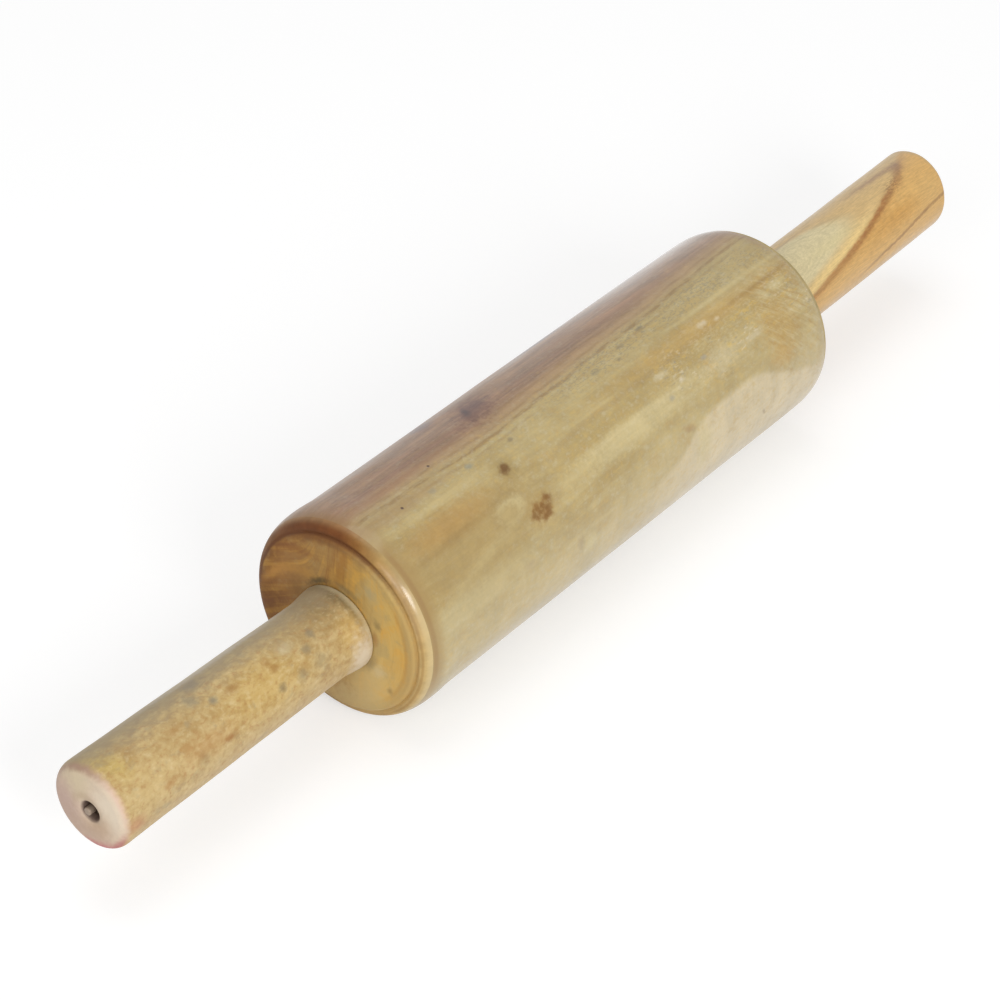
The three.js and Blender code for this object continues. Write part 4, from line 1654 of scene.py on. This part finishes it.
@dataclass
class Barrel:
    """The roller: a beaded, bored barrel with low flats left by hand scraping."""

    radius: float = BARREL_RADIUS
    swell: float = 0.3
    crest: float = 90.5
    swell_from: float = 83.5
    bead_place: float = 97.3
    bead_foot: float = 100.15
    bead_base: float = 28.7
    roundness: float = 2.5
    groove_radius: float = 28.4
    groove_place: float = 100.1
    face_edge: float = 27.0
    face_round: float = 1.3
    worn_edge: float = 26.2
    far_drop: float = 0.4
    recess_radius: float = 9.18
    recess_floor: float = 99.4
    seat_radius: float = 6.18
    seat_floor: float = 83.4
    bore: float = 3.16
    flats: int = 240
    pitch: float = 1.3
    rim_steps: int = 24
    face_steps: int = 6
    flat_depth: float = 0.16
    # Where the flats come in, by the radius and by the reach along the axle
    flat_radius: Band = (31, 31.9)
    flat_reach: Band = (89, 78)
    # The broad and small waves that make the flats, as lengths along and across, and a shift
    broad_wave: tuple[float, float] = (44.0, 9.0)
    small_wave: tuple[float, float, float] = (15.0, 5.0, 7.0)
    small_share: float = 0.25
    flat_level: float = 0.2
    face_pitch: float = 2.0
    # How far out from the recess's wall a side has to lie to count as the outside
    wall_clear: float = 0.1
    # The turns between which the groove is worn away, in degrees from the top
    worn_turns: tuple[float, float, float, float] = (-176.0, -140.0, -58.0, -20.0)
    finish: BarrelWood = field(default_factory=BarrelWood)
    end_finish: EndGrain = field(default_factory=EndGrain)
    worn_rim: dict[tuple[float, float], tuple[float, float]] = field(default_factory=dict)

    def rounded(self, place: float, radius: float, steps: int) -> Outline:
        """Rounds the barrel over from its crest to a point of its end.

        Args:
            place: The point's place along the axle.
            radius: The point's distance from the axle.
            steps: The number of steps.

        Returns:
            The points, as (along, radius).
        """
        long, deep = place - self.crest, self.radius + self.swell - radius
        power = 2 / self.roundness
        angles = [math.pi / 2 * step / steps for step in range(steps)]
        return [(self.crest + long * math.sin(a) ** power, radius + deep * math.cos(a) ** power)
                for a in angles] + [(place, radius)]

    def outline(self) -> Outline:
        """The whole outline: outside from end to end, then back along the bore.

        Returns:
            The points, as (along, radius).
        """
        swell = [(self.swell_from, self.radius)]
        swell += [
            (x, self.radius + self.swell * fade(x, self.swell_from, self.crest))
            for x, _ in rows(swell[0], (self.crest, self.radius), self.pitch)
        ]
        face = arc(BARREL_END - self.face_round, self.face_edge, self.face_round, self.face_round,
                   0, 90, self.face_steps)
        rim = self.rounded(self.bead_foot, self.bead_base, self.rim_steps)
        rim += [(self.groove_place, self.groove_radius)] + face
        worn = self.rounded(BARREL_END, self.worn_edge, len(rim) - 1)
        self.worn_rim = dict(zip(rim, worn))
        outside = swell + rim
        recess = [(BARREL_END, self.recess_radius), (self.recess_floor, self.recess_radius),
                  (self.recess_floor, self.seat_radius), (self.seat_floor, self.seat_radius),
                  (self.seat_floor, self.bore)]
        outside += rows(face[-1], recess[0], self.face_pitch)
        middle = rows((-self.swell_from, self.radius), (self.swell_from, self.radius), self.pitch)
        return mirrored(outside) + middle + outside + recess + mirrored(recess)

    def scraped(self, along: float, turn: float, radius: float) -> tuple[float, float, float]:
        """Lowers the outside by the flats that a scraper leaves, and leaves rims and bore true.

        Args:
            along: The place along the axle.
            turn: The turn from the top in radians.
            radius: The true radius.

        Returns:
            The point, as (along, y, z).
        """
        if (abs(along), radius) in self.worn_rim:
            angle = (math.degrees(turn) + HALF_TURN) % WHOLE_TURN - HALF_TURN
            first, full, last, end = self.worn_turns
            share = fade(angle, first, full) * fade(angle, end, last)
            place, worn = self.worn_rim[abs(along), radius]
            along += (math.copysign(place, along) - along) * share
            radius += (worn - radius) * share
        radius -= (self.far_drop * fade(along, self.swell_from, self.crest)
                   * fade(radius, self.face_edge, self.radius))
        x, y, z = round_about(along, turn, radius)
        amount = fade(radius, *self.flat_radius) * fade(abs(along), *self.flat_reach)
        if amount <= 0:
            return x, y, z
        level = (wave((x, y, z), *self.broad_wave)
                 + self.small_share * wave((x, y, z), *self.small_wave) - self.flat_level)
        return round_about(along, turn, radius + amount * self.flat_depth * level)

    def build(self, effects: Effects) -> None:
        """Builds and dresses the barrel.

        Args:
            effects: The shared shader groups.
        """
        piece = turn_solid("barrel_wood_body", self.outline(), self.flats, self.scraped)
        piece.data.materials.append(self.finish.make(effects))
        piece.data.materials.append(self.end_finish.make(effects))
        for side in piece.data.polygons:
            place, y, z = (part / MM for part in side.center)
            outside = math.hypot(y, z - AXLE_HEIGHT) > self.recess_radius + self.wall_clear
            side.material_index = int(outside and abs(place) > self.bead_place)
        mount(piece, Body.ROLLER, "barrel")


@dataclass
class Handle:
    """One grip, with a flared root, a taper to the tip and a pit where the axle ends."""

    end: PinEnd
    root_radius: float
    tip_radius: float
    round_wide: float
    round_long: float
    finish: Union[MottledGrip, ArchedGrip]
    lean: tuple[float, float] = (0.0, 0.0)
    offset: tuple[float, float] = (0.0, 0.0)
    # How much further the tip reaches than the CAD's, in the middle and for each mm towards +Y +Z
    askew: tuple[float, float] = (0.0, 0.0)
    pit_offset: tuple[float, float] = (0.0, 0.0)
    flare: float = 0.8
    flare_long: float = 8.0
    root_round: float = 0.5
    rim_out: float = 0.8
    hollow_radius: float = 10.0
    crown: float = 0.5
    tip_flat: float = 2.4
    bore: float = 3.3
    lip: float = 0.4
    # The lip's rounded edge, as (depth below the tip, distance out from the lip)
    lip_edge: tuple[tuple[float, float], ...] = ((0, 0.9), (0.25, 0.35), (1, 0))
    root_steps: int = 6
    tip_steps: int = 10
    flats: int = 144
    pitch: float = 1.4
    butt_pitch: float = 2.0
    tip_pitch: float = 1.5
    unevenness: float = 0.12
    # The wave that makes the grip uneven, as lengths along and across, and its middle
    grip_wave: tuple[float, float] = (16.0, 8.0)
    wave_level: float = 0.4
    # Where the outside comes in past the bore, where the root ends and where the tip is cut askew
    outer_from: Band = (0.5, 6)
    clear_from: Band = (2, 14)
    cut_from: Band = (-14, -1)
    # The step from the lip to the bore lies this far on either side of the axle's end
    lip_step: float = 0.1

    def outline(self) -> Outline:
        """The outline for the far end: up the butt, along the grip, over the tip, down the bore.

        Returns:
            The points, as (along, radius).
        """
        rim = HANDLE_ROOT - self.rim_out
        butt = arc(rim + self.root_round, self.root_radius + self.flare - self.root_round,
                   self.root_round, self.root_round, -90, 0, self.root_steps)
        neck_end = HANDLE_ROOT + self.flare_long
        neck = [
            (x, self.root_radius + self.flare * (1 - fade(x, butt[-1][0], neck_end)))
            for x, _ in rows(butt[-1], (neck_end, self.root_radius), self.pitch)
        ] + [(neck_end, self.root_radius)]
        tip = arc(HANDLE_TIP - self.crown - self.round_long, self.tip_radius - self.round_wide,
                  self.round_long, self.round_wide, 0, 90, self.tip_steps)
        grip = rows(neck[-1], tip[0], self.pitch)
        flat = (HANDLE_TIP, self.bore + self.tip_flat)
        lip = self.bore - self.lip
        pit = [(HANDLE_TIP - deep, lip + out) for deep, out in self.lip_edge]
        pit += [(AXLE_END + self.lip_step, lip), (AXLE_END - self.lip_step, self.bore)]
        hollow = [(HANDLE_ROOT, self.bore), (HANDLE_ROOT, self.hollow_radius)]
        loop = hollow[:1] + rows(*hollow, self.butt_pitch) + hollow[1:]
        loop += [(rim, self.hollow_radius + self.rim_out)] + butt
        loop += neck + grip + tip + rows(tip[-1], flat, self.tip_pitch) + [flat]
        return loop + pit

    def worn(self, along: float, turn: float, radius: float) -> tuple[float, float, float]:
        """Makes the grip a little uneven and lets it lean, while the bore stays on the axle.

        Args:
            along: The place along the axle.
            turn: The turn from the top in radians.
            radius: The true radius.

        Returns:
            The point, as (along, y, z).
        """
        x, y, z = round_about(along, turn, radius)
        outer = fade(radius, *(self.bore + edge for edge in self.outer_from))
        clear = fade(abs(along), *(HANDLE_ROOT + edge for edge in self.clear_from))
        level = wave((x, y, z), *self.grip_wave) - self.wave_level
        x, y, z = round_about(along, turn, radius + self.unevenness * level * outer * clear)
        reach = max(0.0, abs(along) - HANDLE_ROOT) * outer
        cut = fade(abs(along), *(HANDLE_TIP + edge for edge in self.cut_from)) * outer
        x += self.end.value * cut * (self.askew[0] + self.askew[1] * (y + z) / math.sqrt(2))
        pit = fade(abs(along), AXLE_END, AXLE_END + self.lip_step) * (1 - outer)
        return (x, y + self.lean[0] * reach + self.offset[0] * outer + self.pit_offset[0] * pit,
                z + self.lean[1] * reach + self.offset[1] * outer + self.pit_offset[1] * pit)

    def build(self, effects: Effects) -> None:
        """Builds and dresses the handle.

        Args:
            effects: The shared shader groups.
        """
        side = self.end.name.lower()
        outline = at_end(self.outline(), self.end)
        piece = turn_solid(f"{side}_handle_wood_body", outline, self.flats, self.worn)
        piece.data.materials.append(self.finish.make(effects))
        mount(piece, Body.HANDLES, f"{side}_handle")


@dataclass
class Spindle:
    """The hidden works: the barbed steel axle, and a nylon bush and a washer at each end."""

    axle_radius: float = 3.0
    chamfer: float = 0.7
    chamfer_turn: float = 80.0
    chamfer_steps: int = 5
    barbs: int = 5
    barb_pitch: float = 7.0
    barb_height: float = 0.2
    barb_inset: float = 12.0
    nib_radius: float = 1.2
    nib_long: float = 2.9
    nib_offset: tuple[float, float] = (0.0, -0.7)
    bush_bore: float = 3.08
    bush_radius: float = 6.08
    flange_radius: float = 9.08
    flange_thick: float = 2.0
    bush_long: float = 18.0
    end_float: float = 0.1
    washer_thick: float = 0.8
    edge: float = 0.15
    flats: int = 72
    sharp_from: float = 30.0
    rod_pitch: float = 8.0
    nib_round: float = 0.4
    nib_steps: int = 4
    # The nib's foot, as (along, out), and how far out the points lie that are set off with it
    nib_foot: tuple[float, float] = (0.2, 0.25)
    nib_reach: float = 0.3
    # The bush's lead-in, counted in broken edges
    lead_in: int = 3

    def axle_outline(self) -> Outline:
        """The axle from one end to the other, with its barbs and hammered ends.

        Returns:
            The points, as (along, radius).
        """
        first = HANDLE_ROOT + self.barb_inset
        half = [(first - self.barb_height, self.axle_radius)]
        for barb in range(self.barbs):
            place = first + barb * self.barb_pitch
            half += [(place, self.axle_radius + self.barb_height),
                     (place + self.barb_pitch / 2, self.axle_radius),
                     (place + self.barb_pitch - self.barb_height, self.axle_radius)]
        half += arc(AXLE_END - self.chamfer, self.axle_radius - self.chamfer, self.chamfer,
                    self.chamfer, 0, self.chamfer_turn, self.chamfer_steps)
        foot, out = self.nib_foot
        half += [(AXLE_END, self.nib_radius + out), (AXLE_END + foot, self.nib_radius)]
        half += arc(AXLE_END + self.nib_long - self.nib_round, self.nib_radius - self.nib_round,
                    self.nib_round, self.nib_round, 0, 90, self.nib_steps)
        half.append((AXLE_END + self.nib_long, 0.0))
        return mirrored(half) + rows(mirrored(half)[-1], half[0], self.rod_pitch) + half

    def bent(self, along: float, turn: float, radius: float) -> tuple[float, float, float]:
        """Sets the nibs a little off the axle's middle.

        Args:
            along: The place along the axle.
            turn: The turn from the top in radians.
            radius: The true radius.

        Returns:
            The point, as (along, y, z).
        """
        x, y, z = round_about(along, turn, radius)
        share = float(abs(along) >= AXLE_END and radius <= self.nib_radius + self.nib_reach)
        return x, y + share * self.nib_offset[0], z + share * self.nib_offset[1]

    def bush_outline(self) -> Outline:
        """The far bush: a sleeve with a flange, its edges broken.

        Returns:
            The points, as (along, radius).
        """
        inner, back, e = BARREL_END - self.bush_long, BARREL_END - self.flange_thick, self.edge
        lead = self.lead_in * e
        return [(inner + e, self.bush_bore), (inner, self.bush_bore + e),
                (inner, self.bush_radius - lead), (inner + lead, self.bush_radius),
                (back, self.bush_radius), (back, self.flange_radius - e),
                (back + e, self.flange_radius), (BARREL_END - e, self.flange_radius),
                (BARREL_END, self.flange_radius - e), (BARREL_END, self.bush_bore + e),
                (BARREL_END - e, self.bush_bore)]

    def washer_outline(self) -> Outline:
        """The far washer, its edges broken.

        Returns:
            The points, as (along, radius).
        """
        inner, e = BARREL_END + self.end_float, self.edge
        outer = inner + self.washer_thick
        return [(inner, self.bush_bore + e), (inner, self.flange_radius - e),
                (inner + e, self.flange_radius), (outer - e, self.flange_radius),
                (outer, self.flange_radius - e), (outer, self.bush_bore + e),
                (outer - e, self.bush_bore), (inner + e, self.bush_bore)]

    def build(self, effects: Effects) -> None:
        """Builds and dresses the axle, bushes and washers.

        Args:
            effects: The shared shader groups.
        """
        axle = turn_solid("axle_steel_rod", self.axle_outline(), self.flats, self.bent,
                          sharp_from=self.sharp_from)
        axle.data.materials.append(AXLE_STEEL.make(effects))
        mount(axle, Body.HANDLES, "axle_rod")
        nylon, steel = BUSH_NYLON.make(effects), WASHER_STEEL.make(effects)
        for end in PinEnd:
            side = end.name.lower()
            bush = turn_solid(f"{side}_bush_sleeve", at_end(self.bush_outline(), end), self.flats,
                              sharp_from=self.sharp_from)
            bush.data.materials.append(nylon)
            mount(bush, Body.ROLLER, f"{side}_bush")
            washer = turn_solid(f"{side}_washer_ring", at_end(self.washer_outline(), end),
                                self.flats, sharp_from=self.sharp_from)
            washer.data.materials.append(steel)
            mount(washer, Body.HANDLES, f"{side}_washer")


def mount(piece: bpy.types.Object, body: Body, node: str) -> None:
    """Puts a piece on its body in place of its CAD node, and reports it.

    Args:
        piece: The piece.
        body: The body that it moves with.
        node: The CAD node that it stands for.
    """
    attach(piece, body.value)
    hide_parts(node)
    LOG.info("%s stands for %s on %s, %d faces", piece.name, node, body.value,
             len(piece.data.polygons))


@dataclass(frozen=True)
class Lamp:
    """One soft lamp, by the direction that it shines from and how much it adds to a white card."""

    name: str
    towards: tuple[float, float, float]
    distance: float
    width: float
    level: float

    def build(self, target: Vector) -> None:
        """Hangs the lamp.

        Args:
            target: The point that it faces.
        """
        light = bpy.data.lights.new(self.name, "AREA")
        light.shape = "DISK"
        light.size = self.width
        light.energy = self.level * math.pi ** 2 * self.distance ** 2
        lamp = bpy.data.objects.new(self.name, light)
        way = Vector(self.towards).normalized()
        lamp.location = target + way * self.distance
        lamp.rotation_mode = "QUATERNION"
        lamp.rotation_quaternion = way.to_track_quat("Z", "Y")
        bpy.context.scene.collection.objects.link(lamp)


@dataclass
class Studio:
    """The plain pale floor, the soft light and the camera."""

    # The camera's angles and lens, and the barrel's middle as it sees it, in metres
    azimuth: float = -51.771
    elevation: float = 35.969
    lens: float = 110.37
    sensor: float = 36.0
    aside: float = 0.017217
    above: float = 0.01233
    away: float = 0.91709
    clip: Band = (0.01, 50)
    floor_reach: float = 6.0
    floor_squares: int = 8
    floor_drop: float = 0.0001
    floor_tone: float = 0.85
    floor_glow: float = 0.55
    floor_seen: float = 0.55
    ambient: float = 0.48
    lamps: tuple[Lamp, ...] = (
        Lamp("front_lamp", (-0.42, -0.8, 0.43), 1.3, 0.5, 0.4),
        Lamp("left_lamp", (-0.85, -0.25, 0.45), 1.5, 0.9, 0.2),
        Lamp("top_lamp", (0.1, 0.15, 1.0), 1.6, 1.2, 0.2),
    )

    def build(self) -> None:
        """Builds the whole studio."""
        scene = bpy.context.scene
        scene.view_settings.view_transform = "Standard"
        target = Vector((0, 0, AXLE_HEIGHT * MM))
        self._camera(target)
        for lamp in self.lamps:
            lamp.build(target)
        self._world()
        self._floor()

    def _camera(self, target: Vector) -> None:
        """Sets the camera where the photograph was taken from.

        Args:
            target: The middle of the barrel.
        """
        a, e = math.radians(self.azimuth), math.radians(self.elevation)
        right = Vector((math.cos(a), math.sin(a), 0))
        ahead = Vector((-math.sin(a) * math.cos(e), math.cos(a) * math.cos(e), -math.sin(e)))
        up = right.cross(ahead)
        data = bpy.data.cameras.new("camera")
        data.lens, data.sensor_width = self.lens, self.sensor
        data.clip_start, data.clip_end = self.clip
        camera = bpy.data.objects.new("camera", data)
        place = target - right * self.aside - up * self.above - ahead * self.away
        columns = (right, up, -ahead, place)
        camera.matrix_world = Matrix(
            [[column[row] for column in columns] for row in range(3)] + [[0, 0, 0, 1]])
        bpy.context.scene.collection.objects.link(camera)
        bpy.context.scene.camera = camera

    @staticmethod
    def _seen(board: Board) -> Socket:
        """Is 1 for rays from the camera, from reflections and through glass."""
        path = board.add("ShaderNodeLightPath").outputs
        seen = board.math("MAXIMUM", path["Is Camera Ray"], path["Is Glossy Ray"])
        return board.math("MAXIMUM", seen, path["Is Transmission Ray"])

    def _world(self) -> None:
        """Makes the world white to look at and a plain soft light on the pin."""
        world = bpy.data.worlds.new("studio_world")
        bpy.context.scene.world = world
        world.use_nodes = True
        board = Board(world.node_tree)
        sky = world.node_tree.nodes["Background"]
        sky.inputs["Color"].default_value = (1.0, 1.0, 1.0, 1.0)
        strength = board.math("MULTIPLY_ADD", self._seen(board), 1.0 - self.ambient, self.ambient)
        board.feed(sky.inputs["Strength"], strength)

    def _floor(self) -> None:
        """Lays the floor, which looks white and keeps the pin's soft shadow."""
        sheet = bmesh.new()
        bmesh.ops.create_grid(sheet, x_segments=self.floor_squares,
                              y_segments=self.floor_squares, size=self.floor_reach)
        mesh = bpy.data.meshes.new("floor")
        sheet.to_mesh(mesh)
        sheet.free()
        floor = bpy.data.objects.new("floor", mesh)
        floor.location.z = -self.floor_drop
        bpy.context.scene.collection.objects.link(floor)
        material = bpy.data.materials.new("floor_white")
        material.use_nodes = True
        board = Board(material.node_tree)
        board.tree.nodes.clear()
        plain, shown = (board.wire("ShaderNodeBsdfDiffuse", (level,) * 3 + (1.0,))[0]
                        for level in (self.floor_tone, self.floor_seen))
        glow = board.add("ShaderNodeEmission")
        glow.inputs["Strength"].default_value = self.floor_glow
        lit = board.wire("ShaderNodeAddShader", shown, glow.outputs[0])[0]
        either = board.wire("ShaderNodeMixShader", self._seen(board), plain, lit)[0]
        board.wire("ShaderNodeOutputMaterial", either)
        mesh.materials.append(material)


def main() -> None:
    """Builds the pin and its studio."""
    logging.basicConfig(level=logging.INFO, format="%(name)s: %(message)s")
    effects = Effects()
    Studio().build()
    Spindle().build(effects)
    Barrel().build(effects)
    Handle(PinEnd.NEAR, root_radius=12.5, tip_radius=13.35, round_wide=3.0, round_long=3.6,
           finish=MottledGrip(), lean=(0.0051, 0.0043), offset=(-0.5, -0.42),
           pit_offset=NEAR_PIT).build(effects)
    Handle(PinEnd.FAR, root_radius=13.8, tip_radius=13.9, round_wide=0.9, round_long=1.0,
           finish=ArchedGrip(), lean=(0.0122, 0.0104), offset=(-0.12, -0.1),
           askew=(0.75, 0.1)).build(effects)


if __name__ == "__main__":
    main()
